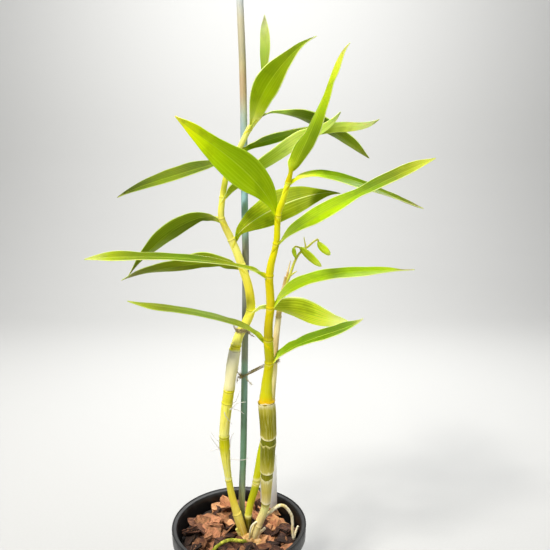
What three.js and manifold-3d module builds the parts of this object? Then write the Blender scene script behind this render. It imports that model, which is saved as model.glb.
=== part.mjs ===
// Dendrobium orchid in a nursery pot.
// Millimetres, +Z up. The origin is the middle of the pot's flat bottom, and
// the plant leans towards +X. Three canes grow from one rhizome: the left cane
// and the front cane carry leaves, and the old cane behind them is bare and
// carries the flower spike.

import * as THREE from 'three';
import { mergeVertices } from 'three/addons/utils/BufferGeometryUtils.js';
import Module from 'manifold-3d';

const wasm = await Module();
wasm.setup();

// ---------------------------------------------------------------- dimensions

const GAP = 0.3;                    // clearance kept between neighbouring pieces
const MERGE_DISTANCE = 1e-4;

const POT = {
  height: 105,
  baseRadius: 43,
  baseEdge: 1.5,                    // rounded foot edge
  wallOuter: 57.2,                  // body wall just below the lip
  lipInner: 55.5,
  lipOuter: 60,
  collarRadius: 59.6,               // the collar hangs down from the lip
  collarBottom: 93,
  collarWall: 1.6,
  innerBase: 41.5,
  floor: 3,
  segments: 36,
  holeCount: 6,
  holeRadius: 4.5,
  holeCircle: 29,
};

const BARK = {
  level: 90,                        // flat filling under the loose top chips
  chips: 38,
  chipSize: [21, 14, 8],
  sizeSpread: 0.35,
  cornerPull: 0.28,                 // how far a corner is pulled about, as a share
  tilt: 0.5,                        // radians
  rise: 3.4,                        // how far a chip's middle may stand above the filling
  bank: 3.5,                        // the chips are heaped towards the far side
  reach: 52,
  seed: 11,
};

const STAKE = { radius: 3, sides: 8 };

// A blank label that stands in the bark: where it passes the pot's rim, and how
// many degrees it leans there.
const LABEL = { width: 16, thickness: 0.8, bottom: 72, top: 150, corner: 2, lean: 2, at: [26.4, 38.5, 103] };

const SHEATH_WALL = 0.8;            // a leaf's sheath where it clasps the cane
const SHEATH_LENGTH = 7;
const SHEATH_ABOVE = 2;             // how far it reaches above the start of its blade
const SHEATH_END_GAP = 0.9;         // it ends this far from the shoulders of its neck
const SHEATH_PROUD = 0.1;           // and it stands this far out of the cane's surface
const SHEATH_DEPTH = SHEATH_WALL + GAP - SHEATH_PROUD;

const BLADE = { rows: 12, stepsPerRow: 2, thickness: 0.8, fold: 17, tipHalfWidth: 0.45 };

// Half-width of a blade along its length, as a share of its widest half-width.
const BLADE_OUTLINE = [
  [0, 0.2], [0.06, 0.22], [0.15, 0.46], [0.27, 0.82], [0.4, 1],
  [0.55, 0.97], [0.7, 0.76], [0.83, 0.47], [0.93, 0.19], [1, 0.03],
];

// --------------------------------------------------------------- stem routes

// Each stem has its route as hand-picked points and its radius by height.
const LEFT_CANE = {
  sides: 8,
  route: [
    [2, 1, 84], [-3, 4, 108], [-8, 5, 127], [-10.5, 6, 146], [-12.8, 7, 167], [-13.5, 8, 183],
    [-11.7, 8, 204], [-9, 8, 223], [-6, 8, 245], [-2.8, 8, 263], [1, 8, 275], [7.5, 8, 287],
    [11, 8, 298], [9.2, 8, 316], [4.4, 8, 332], [-0.4, 8, 346], [-6.3, 8, 360], [-10.8, 8, 369],
    [-13.8, 8, 378], [-13, 8, 390], [-11, 8, 403], [-8, 8, 415], [-2, 8, 426], [3, 8, 436],
    [6.2, 8, 443.5], [9.4, 8, 450], [14, 8, 457], [18.5, 8, 463], [21, 8, 471],
  ],
  radius: [
    [84, 4.2], [108, 4.1], [120, 3.6], [150, 3.4], [158, 3.9], [172, 4.9], [183, 4.4], [196, 4.6],
    [213, 5], [223, 4.8], [233, 4.6], [247, 5.2], [262, 4.9], [265, 4.5], [273, 4.1], [298, 4],
    [316, 3.7], [346, 3.5], [360, 3.3], [370, 2.9], [390, 2.6], [420, 2.4], [440, 2.2], [471, 1.9],
  ],
};

const FRONT_CANE = {
  sides: 9,
  route: [
    [12, -6, 86], [16, -8, 99], [19.2, -8, 110], [22.3, -9, 120], [24.2, -10, 131], [24.8, -11, 152],
    [25.6, -12, 172], [26.3, -13, 193], [25.5, -14, 213], [24.6, -14, 225], [24.8, -15, 241],
    [26.5, -16, 257], [26.2, -17, 274], [26.7, -19, 289], [28.2, -20, 304], [27.9, -21, 317],
    [27.3, -22, 328], [28.8, -23, 340], [31.7, -24, 351], [33.4, -25, 361], [33.8, -26, 371.5],
    [35, -27, 382], [37.9, -28, 390], [40.6, -29, 399], [44.4, -30, 413.5],
  ],
  radius: [
    [86, 4], [99, 3.8], [110, 3.6], [120, 3.4], [131, 3.9], [142, 4.5], [148, 4.9], [152, 5.2],
    [172, 5.9], [178, 5.8], [184, 6.4], [193, 6.8], [213, 7.2], [222, 7.1], [224, 6.3], [232, 6],
    [245, 5.4], [257, 4.8], [274, 4.1], [289, 3.5], [328, 3.4], [340, 3], [351, 2.6], [390, 2.4],
    [413.5, 2.2],
  ],
};

const OLD_CANE = {
  sides: 8,
  route: [
    [6, 10, 84], [7.5, 10, 105], [9.8, 10, 117], [13.3, 10, 129], [15.6, 11, 139], [17.9, 11, 151],
    [20.2, 11, 164], [23.8, 12, 179], [27.5, 12, 197], [29.8, 12, 211], [31.3, 12.5, 223],
    [32.4, 13, 241], [32.9, 13, 258], [34, 13, 273], [35.2, 13, 287], [36, 13, 297], [38.1, 13, 307],
    [40.9, 13, 318], [42.1, 13, 325],
  ],
  radius: [
    [84, 3.4], [105, 3.3], [117, 3.2], [137, 3.6], [139, 4], [164, 4.3], [179, 4.3], [197, 4],
    [223, 3.2], [241, 3], [273, 2.7], [297, 2.4], [318, 2.3], [325, 2],
  ],
};

// It stands on the pot's floor, and bows a little.
const STAKE_ROUTE = [
  [0, 20.5, 3.6], [0.8, 20, 108], [2.8, 20, 163], [4.3, 20, 234], [6, 20, 330],
  [5.5, 20, 392], [5, 20, 487], [2.9, 20, 556], [1.3, 20, 604],
];

// -------------------------------------------------------------------- leaves

// at: height on the cane. heading: 0 is +X, 90 is +Y, in degrees. The blade
// leaves at the angle rise above level and sinks by droop along its length,
// early for a bend under 1, with a last lift of flick at its tip. sway turns
// its heading. roll turns it about its midrib, and twist adds to that turn.
const LEFT_LEAVES = [
  { at: 297, heading: -18, sway: 20, rise: 21, droop: 48, bend: 0.53, flick: 29,
    length: 84, width: 24, roll: 21, twist: 80 },
  { at: 336, heading: 178, sway: 0, rise: 77, droop: 93, bend: 0.1, flick: -3,
    length: 105, width: 20.5, roll: -68, twist: 80 },
  { at: 358, heading: -3, sway: 0, rise: 95, droop: 81, bend: 0.2, flick: -25,
    length: 101, width: 26, roll: 76, twist: 40 },
  { at: 376, heading: 184, sway: 0, rise: 95, droop: 149, bend: 0.17, flick: 3,
    length: 98, width: 19, roll: -90, twist: 80 },
  { at: 394, heading: -9, sway: 0, rise: 37, droop: 34, bend: 2.6, flick: 55,
    length: 118, width: 20, roll: 18, twist: 17 },
  { at: 425.5, heading: 182, sway: 0, rise: -10, droop: 7, bend: 0.1, flick: -13,
    length: 102, width: 18, roll: 24, twist: 11 },
  { at: 433.5, heading: 9, sway: 0, rise: 18, droop: 42, bend: 1.9, flick: 60,
    length: 125, width: 21, roll: 21, twist: -80 },
  { at: 461, heading: 25, sway: 0, rise: 94, droop: 124, bend: 0.15, flick: -11,
    length: 117, width: 20, roll: 13, twist: -9 },
  { at: 450.5, heading: -60, sway: 40, rise: 83, droop: 48, bend: 0.27, flick: -17,
    length: 92, width: 23, roll: -155, twist: 125 },
  { at: 469, heading: 0, sway: 0, rise: 81, droop: -19, bend: 0.96, flick: -11,
    length: 67, width: 13, roll: 9, twist: -80 },
];

const FRONT_LEAVES = [
  { at: 257, heading: -5, sway: 0, rise: 95, droop: 86, bend: 0.14, flick: 46,
    length: 84, width: 16, roll: -36, twist: 20 },
  { at: 277.5, heading: 184, sway: 0, rise: 76, droop: 69, bend: 0.12, flick: 12,
    length: 117, width: 20, roll: 10, twist: -76 },
  { at: 304.5, heading: -6, sway: 0, rise: 95, droop: 107, bend: 0.3, flick: 22,
    length: 121, width: 15.5, roll: -47, twist: 19 },
  { at: 331, heading: 178, sway: 0, rise: 68, droop: 71, bend: 0.12, flick: 2,
    length: 150, width: 21, roll: -35, twist: 80 },
  { at: 357, heading: -11, sway: 0, rise: 66, droop: 43, bend: 0.15, flick: 1,
    length: 135, width: 16.5, roll: -56, twist: 14 },
  { at: 379.5, heading: 180, sway: 0, rise: 95, droop: 68, bend: 0.29, flick: 14,
    length: 110, width: 26, roll: 80, twist: 60 },
  { at: 404.9, heading: 14, sway: 0, rise: 99, droop: 131.5, bend: 0.18, flick: 21,
    length: 120, width: 20.5, roll: -38, twist: 51 },
  { at: 412, heading: -10, sway: 0, rise: 61, droop: -42, bend: 2.6, flick: -53,
    length: 104, width: 21, roll: -69, twist: 80 },
];

// ------------------------------------------------------------- small details

// Thin aerial roots that leave the left cane: route points and one radius.
const AERIAL_ROOT_RADIUS = 0.45;
const AERIAL_ROOTS = [
  [[-10, 6, 207], [-5.9, 3, 209.7], [-0.5, 2, 214.6], [6.5, 3, 215.2]],
  [[-10, 6, 206], [-5.1, 3, 208.8], [1.1, 3, 206.9], [4.6, 4, 203.8]],
  [[-8, 7, 212], [-3, 5, 215], [1.1, 6, 225]],
  [[-12.5, 5, 207], [-12, 2, 203.6], [-6, 1, 195.8]],
  [[-14, 7, 168], [-19.1, 6, 172], [-25.9, 4, 183.3]],
  [[-14, 7, 175], [-19.9, 6, 178.7], [-25.4, 8, 185.3]],
  [[-13, 7, 169], [-19.1, 6, 170.2], [-26.2, 5, 168.8]],
  [[-12, 6, 168], [-8.4, 5, 171], [-7.3, 4, 181], [-4.5, 3, 187]],
  [[-12, 6, 160], [-6.7, 5, 161.2], [3, 5, 160.2], [8.5, 6, 162.1]],
];

// Thick roots in and over the bark, from the rhizome.
const POT_ROOTS = [
  { radius: 1.9, route: [[16, -7, 106], [23.1, -6, 112.3], [32, -4, 118.7], [38, -2, 121.8],
    [44, 0, 117], [48, 1, 109], [48.6, 1, 99], [47.8, -1, 88]] },
  { radius: 1.5, route: [[8, -12, 92], [4.9, -15.8, 94], [-3.1, -14.4, 94.6], [-10.9, -15.1, 94.4],
    [-17, -17.5, 93.4], [-22, -24, 90], [-26, -32, 84]] },
  { radius: 1.3, route: [[15, -6, 94], [18.5, -2.8, 96], [23.8, 4.7, 95.5], [28, 10, 90]] },
];

const RHIZOME = {
  route: [[-4, 6, 80], [3, 3, 83], [9, -4, 86], [14, -8, 88], [20, -12, 85]],
  radius: 6.5,
  knobs: [[9.8, -8.6, 91, 4.6], [5.5, -1.5, 89.5, 4.6]],
};

const OLD_STUB = {
  route: [[41.4, 13, 318], [42.6, 13, 326], [44, 12.6, 333], [45.5, 12, 339.5]],
  radius: 1.2,
  tip: 0.4,
};

const SPIKE = {
  at: 314,
  stem: [[39.8, 13, 314], [44.2, 10.6, 325], [46.6, 10, 332], [48.9, 9.6, 338.5], [52.3, 9, 345],
    [56.5, 8.6, 349.4], [60.5, 8, 352], [64.2, 7.4, 355.4], [67.4, 7, 357.8]],
  radius: 1.25,
  buds: [
    { stalk: [[50, 9.4, 341.5], [47.6, 10, 347], [49.4, 9.8, 351.6], [53.6, 9.2, 351]],
      body: [[53.6, 9.2, 351], [58, 8.8, 347], [65, 8.4, 340.5], [72, 8, 334.6]], radius: 3.3 },
    { stalk: [[66.5, 7.2, 357], [68.4, 6.8, 358.2], [69.2, 6.6, 355.6]],
      body: [[68.6, 6.6, 356], [71.6, 6.4, 352], [75.4, 6.2, 348.4], [79.2, 6, 344.8]], radius: 3.2 },
    { stalk: [[51, 9.2, 343], [48.6, 7.4, 344]],
      body: [[50, 7.6, 342.4], [48.8, 7.4, 345.5], [48.2, 7.2, 348.6], [47.8, 7, 351.5]], radius: 1.9 },
  ],
  bracts: [
    { route: [[57.8, 8.4, 350], [58.2, 8.8, 352.5], [57.4, 9, 356.6], [56.8, 9, 360.2]], radius: 0.9 },
    { route: [[44.5, 10.4, 326], [47.6, 9.6, 328.4], [51, 9, 330.6]], radius: 1.2 },
  ],
};

// A bud's radius along it, as a share of its greatest, and its stalk's radius.
const BUD_SWELL = [[0, 0.35], [0.15, 0.72], [0.4, 0.98], [0.65, 1], [0.85, 0.78], [1, 0.3]];
const STALK_RADIUS = 0.8;

const TWINE = {
  upper: { strand: 0.9, stakeHeight: 234, caneHeight: 250, ends: [
    [[2, 15.7, 234.5], [-1.6, 14, 238.5], [-1.3, 14, 243.8]],
    [[1.8, 15.7, 233.6], [-1.4, 13.6, 234], [-2.1, 14, 229.5]],
    [[5.5, 15.5, 233.2], [9, 14, 229.5], [11, 13, 227.5]],
  ] },
  lower: { strand: 0.6, stakeHeight: 274, caneHeight: 279, ends: [
    [[-1.8, 4, 279.2], [-3.4, 1.6, 283], [-3.6, 0.6, 288.5]],
    [[9, 18.2, 273.5], [11, 17.6, 271.8], [13.6, 17.4, 270.4]],
  ] },
  endRadius: 0.5,
  stepsRound: 5,
};

// ----------------------------------------------------------------- materials

function finish(color, roughness, metalness = 0) {
  return new THREE.MeshStandardMaterial({ color, roughness, metalness, side: THREE.DoubleSide });
}

// ------------------------------------------------------------ shape helpers

const vector = (point) => new THREE.Vector3(...point);

const mix = (a, b, share) => a + (b - a) * share;

// Value at x of a list of [x, value] pairs, straight between them.
function along(pairs, x) {
  if (x <= pairs[0][0]) return pairs[0][1];
  for (let i = 1; i < pairs.length; i += 1) {
    const [x1, v1] = pairs[i];
    if (x <= x1) {
      const [x0, v0] = pairs[i - 1];
      return mix(v0, v1, (x - x0) / (x1 - x0));
    }
  }
  return pairs[pairs.length - 1][1];
}

// A repeatable random number source, from 0 to 1.
function seeded(seed) {
  let state = seed;
  return () => {
    state = (state * 1664525 + 1013904223) % 4294967296;
    return state / 4294967296;
  };
}

function smoothRoute(points, closed = false) {
  return new THREE.CatmullRomCurve3(points.map(vector), closed, 'catmullrom', 0.5);
}

function geometryOf(positions, triangles) {
  const geometry = new THREE.BufferGeometry();
  geometry.setAttribute('position', new THREE.Float32BufferAttribute(positions, 3));
  geometry.setIndex(triangles);
  return geometry;
}

// The direction of a row of centres at each of them.
function directionsOf(centres, closed) {
  const count = centres.length;
  return centres.map((_, i) => {
    const before = centres[closed ? (i + count - 1) % count : Math.max(i - 1, 0)];
    const after = centres[closed ? (i + 1) % count : Math.min(i + 1, count - 1)];
    return after.clone().sub(before).normalize();
  });
}

// A round rod along a row of centres, with its rings' frames carried along it.
function rod(centres, radii, sides, closed = false, tangents = directionsOf(centres, closed)) {
  const count = centres.length;
  const side = new THREE.Vector3(0, 1, 0).cross(tangents[0]);
  if (side.length() < 0.3) side.set(1, 0, 0);
  const positions = [];
  centres.forEach((centre, i) => {
    side.addScaledVector(tangents[i], -side.dot(tangents[i])).normalize();
    const up = tangents[i].clone().cross(side);
    for (let j = 0; j < sides; j += 1) {
      const angle = (2 * Math.PI * j) / sides;
      const corner = centre.clone()
        .addScaledVector(side, radii[i] * Math.cos(angle))
        .addScaledVector(up, radii[i] * Math.sin(angle));
      positions.push(...corner.toArray());
    }
  });
  const triangles = [];
  const bands = closed ? count : count - 1;
  for (let i = 0; i < bands; i += 1) {
    const next = (i + 1) % count;
    for (let j = 0; j < sides; j += 1) {
      const k = (j + 1) % sides;
      const [a, b, c, d] = [i * sides + j, i * sides + k, next * sides + j, next * sides + k];
      triangles.push(a, b, d, a, d, c);
    }
  }
  if (!closed) {
    for (let j = 1; j < sides - 1; j += 1) {
      triangles.push(0, j + 1, j);
      const last = (count - 1) * sides;
      triangles.push(last, last + j, last + j + 1);
    }
  }
  return geometryOf(positions, triangles);
}

// A row of centres with both of its ends moved outwards.
function longer(centres, grow) {
  const pushed = (end, inner) => end.clone().add(end.clone().sub(inner).setLength(grow));
  const last = centres.length - 1;
  const foot = pushed(centres[0], centres[1]);
  const head = pushed(centres[last], centres[last - 1]);
  return [foot, ...centres.slice(1, last), head];
}

// A round rod along a smooth route, tapering from radius to tip. It can be
// grown all round, to cut a clearance with.
function taperedRod(points, radius, tip, steps, sides, grow = 0) {
  const centres = smoothRoute(points).getPoints(steps);
  const radii = centres.map((_, i) => mix(radius, tip, i / steps) + grow);
  return rod(longer(centres, grow), radii, sides);
}

function solidOf(geometry) {
  const bare = geometry.clone();
  bare.deleteAttribute('normal');
  bare.deleteAttribute('uv');
  const merged = mergeVertices(bare, MERGE_DISTANCE);
  return new wasm.Manifold(new wasm.Mesh({
    numProp: 3,
    vertProperties: Float32Array.from(merged.attributes.position.array),
    triVerts: Uint32Array.from(merged.index.array),
  }));
}

const joined = (solids) => solids.reduce((whole, solid) => whole.add(solid));

const without = (solid, cutters) => cutters.reduce((rest, cutter) => rest.subtract(cutter), solid);

// The largest body of a solid, as a geometry: loose scraps are dropped.
function largestBody(solid) {
  const bodies = solid.decompose();
  const body = bodies.reduce((best, next) => (next.volume() > best.volume() ? next : best));
  const mesh = body.getMesh();
  return geometryOf(Array.from(mesh.vertProperties), Array.from(mesh.triVerts));
}

// --------------------------------------------------------------------- stems

// Makes a stem's route, its necks and its solids. A neck is a stretch where
// the core is thinner, which a leaf's sheath fills.
function makeStem({ sides, route, radius }, clasped) {
  const curve = smoothRoute(route);
  const top = route[route.length - 1][2];
  const shareAt = (height) => {
    let low = 0;
    let high = 1;
    for (let i = 0; i < 30; i += 1) {
      const middle = (low + high) / 2;
      if (curve.getPoint(middle).z < height) low = middle;
      else high = middle;
    }
    return (low + high) / 2;
  };
  const placeAt = (height) => curve.getPoint(shareAt(height));
  const directionAt = (height) => curve.getTangent(shareAt(height));
  const necks = clasped.map(({ at }) => [at + SHEATH_ABOVE - SHEATH_LENGTH, at + SHEATH_ABOVE]);
  const shoulder = 0.2;
  const solid = (grow) => {
    const inNeck = (height) => necks.some(([low, high]) => height >= low && height <= high);
    const stations = radius
      .filter(([height]) => !inNeck(height))
      .map(([height, r]) => [height, r + grow]);
    necks.forEach(([low, high]) => {
      const full = (height) => along(radius, height) + grow;
      stations.push([low + grow, full(low)], [low + grow + shoulder, full(low) - SHEATH_DEPTH]);
      const core = full(Math.min(high, top)) - SHEATH_DEPTH;
      if (high < top) stations.push([high - grow - shoulder, core], [high - grow, full(high)]);
      else stations.push([top, core]);
    });
    const kept = stations.filter(([height]) => height <= top).sort((a, b) => a[0] - b[0]);
    const centres = longer(kept.map(([height]) => placeAt(height)), grow);
    const tangents = kept.map(([height]) => directionAt(height));
    return solidOf(rod(centres, kept.map(([, r]) => r), sides, false, tangents));
  };
  return { placeAt, directionAt, radiusAt: (height) => along(radius, height), solid, top, sides };
}

// -------------------------------------------------------------------- leaves

const radians = THREE.MathUtils.degToRad;

// Which way a blade runs at s, from 0 at its base to 1 at its tip: its
// forward direction, the direction across it and the normal of its face.
function bladeFrame(leaf, s) {
  const rise = radians(leaf.rise - leaf.droop * s ** leaf.bend + leaf.flick * s ** 6);
  const heading = radians(leaf.heading + leaf.sway * s);
  const roll = radians(leaf.roll + leaf.twist * s);
  const forward = new THREE.Vector3(
    Math.cos(rise) * Math.cos(heading), Math.cos(rise) * Math.sin(heading), Math.sin(rise));
  const level = new THREE.Vector3(Math.sin(heading), -Math.cos(heading), 0);
  const upright = level.clone().cross(forward);
  const across = level.clone().multiplyScalar(Math.cos(roll)).addScaledVector(upright, Math.sin(roll));
  return { forward, across, face: across.clone().cross(forward) };
}

// Rows along a blade, from the wall of its sheath to its tip.
function bladeRows(stem, leaf) {
  const outward = stem.radiusAt(leaf.at) - SHEATH_WALL / 2;
  const start = radians(leaf.heading);
  const centre = stem.placeAt(leaf.at)
    .add(new THREE.Vector3(outward * Math.cos(start), outward * Math.sin(start), 0));
  const rows = [];
  const steps = BLADE.rows * BLADE.stepsPerRow;
  for (let i = 0; i <= steps; i += 1) {
    if (i % BLADE.stepsPerRow === 0) {
      const s = i / steps;
      const halfWidth = (leaf.width / 2) * along(BLADE_OUTLINE, s);
      rows.push({ centre: centre.clone(), halfWidth, ...bladeFrame(leaf, s) });
    }
    centre.addScaledVector(bladeFrame(leaf, (i + 0.5) / steps).forward, leaf.length / steps);
  }
  return rows;
}

// A thin blade folded along its midrib, cut into the same triangles on both faces.
function bladeGeometry(rows) {
  const positions = [];
  const lift = Math.tan(radians(BLADE.fold));
  rows.forEach(({ centre, across, face, halfWidth }) => {
    const half = Math.max(halfWidth, BLADE.tipHalfWidth);
    [0, -BLADE.thickness].forEach((depth) => {
      [-1, 0, 1].forEach((place) => {
        const corner = centre.clone()
          .addScaledVector(across, place * half)
          .addScaledVector(face, Math.abs(place) * half * lift + depth);
        positions.push(...corner.toArray());
      });
    });
  });
  const triangles = [];
  const quad = (a, b, c, d) => triangles.push(a, b, c, a, c, d);
  const last = rows.length - 1;
  for (let i = 0; i < last; i += 1) {
    const upper = i * 6;
    const lower = upper + 3;
    for (let k = 0; k < 2; k += 1) {
      quad(upper + k, upper + k + 1, upper + k + 7, upper + k + 6);
      triangles.push(lower + k, lower + k + 7, lower + k + 1, lower + k, lower + k + 6, lower + k + 7);
    }
    quad(upper, upper + 6, lower + 6, lower);
    quad(upper + 2, lower + 2, lower + 8, upper + 8);
  }
  [[0, false], [last, true]].forEach(([i, end]) => {
    const u = i * 6;
    [[u, u + 3, u + 4, u + 1], [u + 1, u + 4, u + 5, u + 2]].forEach(([a, b, c, d]) => {
      if (end) quad(a, d, c, b);
      else quad(a, b, c, d);
    });
  });
  return geometryOf(positions, triangles);
}

// A sheath round the cane, with room for the cane still to be cut out of it.
function sheathSolid(stem, at) {
  const low = at + SHEATH_ABOVE - SHEATH_LENGTH + SHEATH_END_GAP;
  const high = at + SHEATH_ABOVE - SHEATH_END_GAP;
  const heights = [low, high];
  const centres = heights.map((height) => stem.placeAt(Math.min(height, stem.top)));
  centres[1].z += Math.max(0, high - stem.top);
  const radii = heights.map((height) => stem.radiusAt(height) + SHEATH_PROUD);
  const tangents = heights.map((height) => stem.directionAt(height));
  return solidOf(rod(centres, radii, stem.sides, false, tangents));
}

function leafGeometry(stem, leaf, stemWithGap) {
  const blade = solidOf(bladeGeometry(bladeRows(stem, leaf)));
  return largestBody(sheathSolid(stem, leaf.at).add(blade).subtract(stemWithGap));
}

// ----------------------------------------------------------------- pot, bark

function potGeometry() {
  const p = POT;
  const profile = [
    [0, 0], [p.baseRadius - p.baseEdge, 0], [p.baseRadius, p.baseEdge],
    [p.wallOuter, p.collarBottom], [p.wallOuter, p.height - 3],
    [p.lipOuter - p.collarWall, p.height - 3], [p.collarRadius - p.collarWall, p.collarBottom],
    [p.collarRadius, p.collarBottom], [p.lipOuter, p.height - 1.2], [p.lipOuter - 1.2, p.height],
    [p.lipInner + 1, p.height], [p.lipInner, p.height - 1], [p.lipInner - 1, p.collarBottom],
    [p.innerBase, p.floor], [0, p.floor],
  ].map(([x, y]) => new THREE.Vector2(x, y));
  const lathe = new THREE.LatheGeometry(profile, p.segments).rotateX(Math.PI / 2);
  let pot = solidOf(lathe);
  for (let i = 0; i < p.holeCount; i += 1) {
    const angle = (2 * Math.PI * i) / p.holeCount;
    const hole = new THREE.CylinderGeometry(p.holeRadius, p.holeRadius, 3 * p.floor, 12)
      .rotateX(Math.PI / 2)
      .translate(p.holeCircle * Math.cos(angle), p.holeCircle * Math.sin(angle), p.floor / 2);
    pot = pot.subtract(solidOf(hole));
  }
  return largestBody(pot);
}

function turned(profile) {
  const points = profile.map(([x, y]) => new THREE.Vector2(x, y));
  return solidOf(new THREE.LatheGeometry(points, POT.segments).rotateX(Math.PI / 2));
}

// A chip is a slab whose corners are pulled about.
function chipSolid(random, place) {
  const stretch = () => 1 + BARK.sizeSpread * (2 * random() - 1);
  const box = mergeVertices(new THREE.BoxGeometry(...BARK.chipSize.map((size) => size * stretch()))
    .deleteAttribute('normal').deleteAttribute('uv'), MERGE_DISTANCE);
  const corners = box.attributes.position;
  for (let i = 0; i < corners.count; i += 1) {
    corners.setXYZ(i, ...[corners.getX(i), corners.getY(i), corners.getZ(i)]
      .map((value) => value * (1 + BARK.cornerPull * (2 * random() - 1))));
  }
  const lean = () => BARK.tilt * (2 * random() - 1);
  const turn = new THREE.Euler(lean(), lean(), 2 * Math.PI * random(), 'ZYX');
  box.applyMatrix4(new THREE.Matrix4().makeRotationFromEuler(turn).setPosition(place));
  return solidOf(box);
}

function barkGeometry(standing) {
  const p = POT;
  const shareUp = (height) => (height - p.floor) / (p.collarBottom - p.floor);
  const reachAt = (height) => mix(p.innerBase, p.lipInner - 1, shareUp(height)) - GAP;
  const base = p.floor + GAP;
  const filling = turned([
    [0, base], [reachAt(base), base], [reachAt(BARK.level), BARK.level], [0, BARK.level],
  ]);
  const room = turned([
    [0, base], [reachAt(base), base], [reachAt(p.collarBottom), p.collarBottom],
    [p.lipInner - 0.5, p.height + 5], [0, p.height + 5],
  ]);
  const random = seeded(BARK.seed);
  const chips = [];
  const goldenAngle = Math.PI * (3 - Math.sqrt(5));
  for (let i = 0; i < BARK.chips; i += 1) {
    const distance = BARK.reach * Math.sqrt((i + 0.5) / BARK.chips);
    const angle = i * goldenAngle;
    const [x, y] = [distance * Math.cos(angle), distance * Math.sin(angle)];
    const heap = BARK.bank * Math.max(0, y / BARK.reach);
    chips.push(chipSolid(random, new THREE.Vector3(x, y, BARK.level + heap + BARK.rise * random())));
  }
  const bark = joined([filling, ...chips]).intersect(room);
  return largestBody(without(bark, standing));
}

// --------------------------------------------------------------- root system

function rhizomeSolid(grow) {
  const pieces = [solidOf(taperedRod(RHIZOME.route, RHIZOME.radius, RHIZOME.radius, 6, 8, grow))];
  RHIZOME.knobs.forEach(([x, y, z, radius]) => {
    pieces.push(solidOf(new THREE.IcosahedronGeometry(radius + grow, 1).translate(x, y, z)));
  });
  POT_ROOTS.forEach(({ radius, route }) => {
    pieces.push(solidOf(taperedRod(route, radius, radius * 0.8, 2 * route.length, 6, grow)));
  });
  return joined(pieces);
}

// ---------------------------------------------------------------------- ties

// Points of a strand drawn tight round two posts.
function loopRound(postA, radiusA, postB, radiusB) {
  const points = [];
  const bearing = Math.atan2(postB.y - postA.y, postB.x - postA.x);
  const halves = [[postA, radiusA, bearing + Math.PI / 2], [postB, radiusB, bearing - Math.PI / 2]];
  halves.forEach(([post, radius, start]) => {
    for (let i = 0; i <= TWINE.stepsRound; i += 1) {
      const angle = start + (Math.PI * i) / TWINE.stepsRound;
      points.push(new THREE.Vector3(
        post.x + radius * Math.cos(angle), post.y + radius * Math.sin(angle), post.z));
    }
  });
  return points;
}

function tieGeometry(tie, cane, stake, parts) {
  const clear = tie.strand + 2 * GAP;
  const onStake = stake.placeAt(tie.stakeHeight);
  const onCane = cane.placeAt(tie.caneHeight);
  const loop = loopRound(onStake, STAKE.radius + clear, onCane, cane.radiusAt(tie.caneHeight) + clear);
  const strands = [solidOf(rod(loop, loop.map(() => tie.strand), 6, true))];
  tie.ends.forEach((route) => {
    strands.push(solidOf(taperedRod(route, TWINE.endRadius, TWINE.endRadius * 0.7, 4, 5)));
  });
  return largestBody(without(joined(strands), parts));
}

// --------------------------------------------------------------- flower spike

// The dry end of the old cane, beside the flower spike.
const stubSolid = (grow) => solidOf(
  taperedRod(OLD_STUB.route, OLD_STUB.radius, OLD_STUB.tip, 5, 6, grow));

function budSolid({ stalk, body, radius }) {
  const curve = smoothRoute(body);
  const centres = BUD_SWELL.map(([s]) => curve.getPoint(s));
  return solidOf(rod(centres, BUD_SWELL.map(([, share]) => share * radius), 7))
    .add(solidOf(taperedRod(stalk, STALK_RADIUS, STALK_RADIUS, 4, 5)));
}

function spikeGeometry(cane, cutters) {
  const pieces = [sheathSolid(cane, SPIKE.at), solidOf(taperedRod(SPIKE.stem, SPIKE.radius, 0.9, 10, 6))];
  SPIKE.buds.forEach((bud) => pieces.push(budSolid(bud)));
  SPIKE.bracts.forEach(({ route, radius }) => pieces.push(solidOf(taperedRod(route, radius, 0.4, 3, 4))));
  return largestBody(without(joined(pieces), cutters));
}

// --------------------------------------------------------------------- label

function labelGeometry(grow) {
  const { width, bottom, top, corner, thickness, lean, at } = LABEL;
  const [left, right] = [-width / 2 - grow, width / 2 + grow];
  const shape = new THREE.Shape();
  shape.moveTo(left, bottom - grow);
  shape.lineTo(right, bottom - grow);
  shape.lineTo(right, top - corner);
  shape.quadraticCurveTo(right, top, right - corner, top);
  shape.lineTo(left + corner, top);
  shape.quadraticCurveTo(left, top, left, top - corner);
  const depth = thickness + 2 * grow;
  return new THREE.ExtrudeGeometry(shape, { depth, bevelEnabled: false, curveSegments: 3 })
    .translate(0, -at[2], -depth / 2)
    .rotateX(Math.PI / 2)
    .rotateY(radians(lean))
    .translate(...at);
}

// ------------------------------------------------------------------ assembly

const orchid = new THREE.Group();

function place(name, geometry, material) {
  const mesh = new THREE.Mesh(geometry, material);
  mesh.name = name;
  orchid.add(mesh);
}

const leftCane = makeStem(LEFT_CANE, LEFT_LEAVES);
const frontCane = makeStem(FRONT_CANE, FRONT_LEAVES);
const oldCane = makeStem(OLD_CANE, [{ at: SPIKE.at }]);
const stakeStem = makeStem({
  sides: STAKE.sides,
  route: STAKE_ROUTE,
  radius: STAKE_ROUTE.map(([, , height]) => [height, STAKE.radius]),
}, []);

const grown = {
  left: leftCane.solid(GAP),
  front: frontCane.solid(GAP),
  old: oldCane.solid(GAP),
  stake: stakeStem.solid(GAP),
  rhizome: rhizomeSolid(GAP),
  label: solidOf(labelGeometry(GAP)),
};

place('pot', potGeometry(), finish(0x1b1d1f, 0.45));
place('bark_medium', barkGeometry(Object.values(grown)), finish(0x8a5a48, 0.9));
const canes = [grown.left, grown.front, grown.old];
place('rhizome_with_roots', largestBody(without(rhizomeSolid(0), canes)), finish(0xd9c7a0, 0.7));

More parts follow.
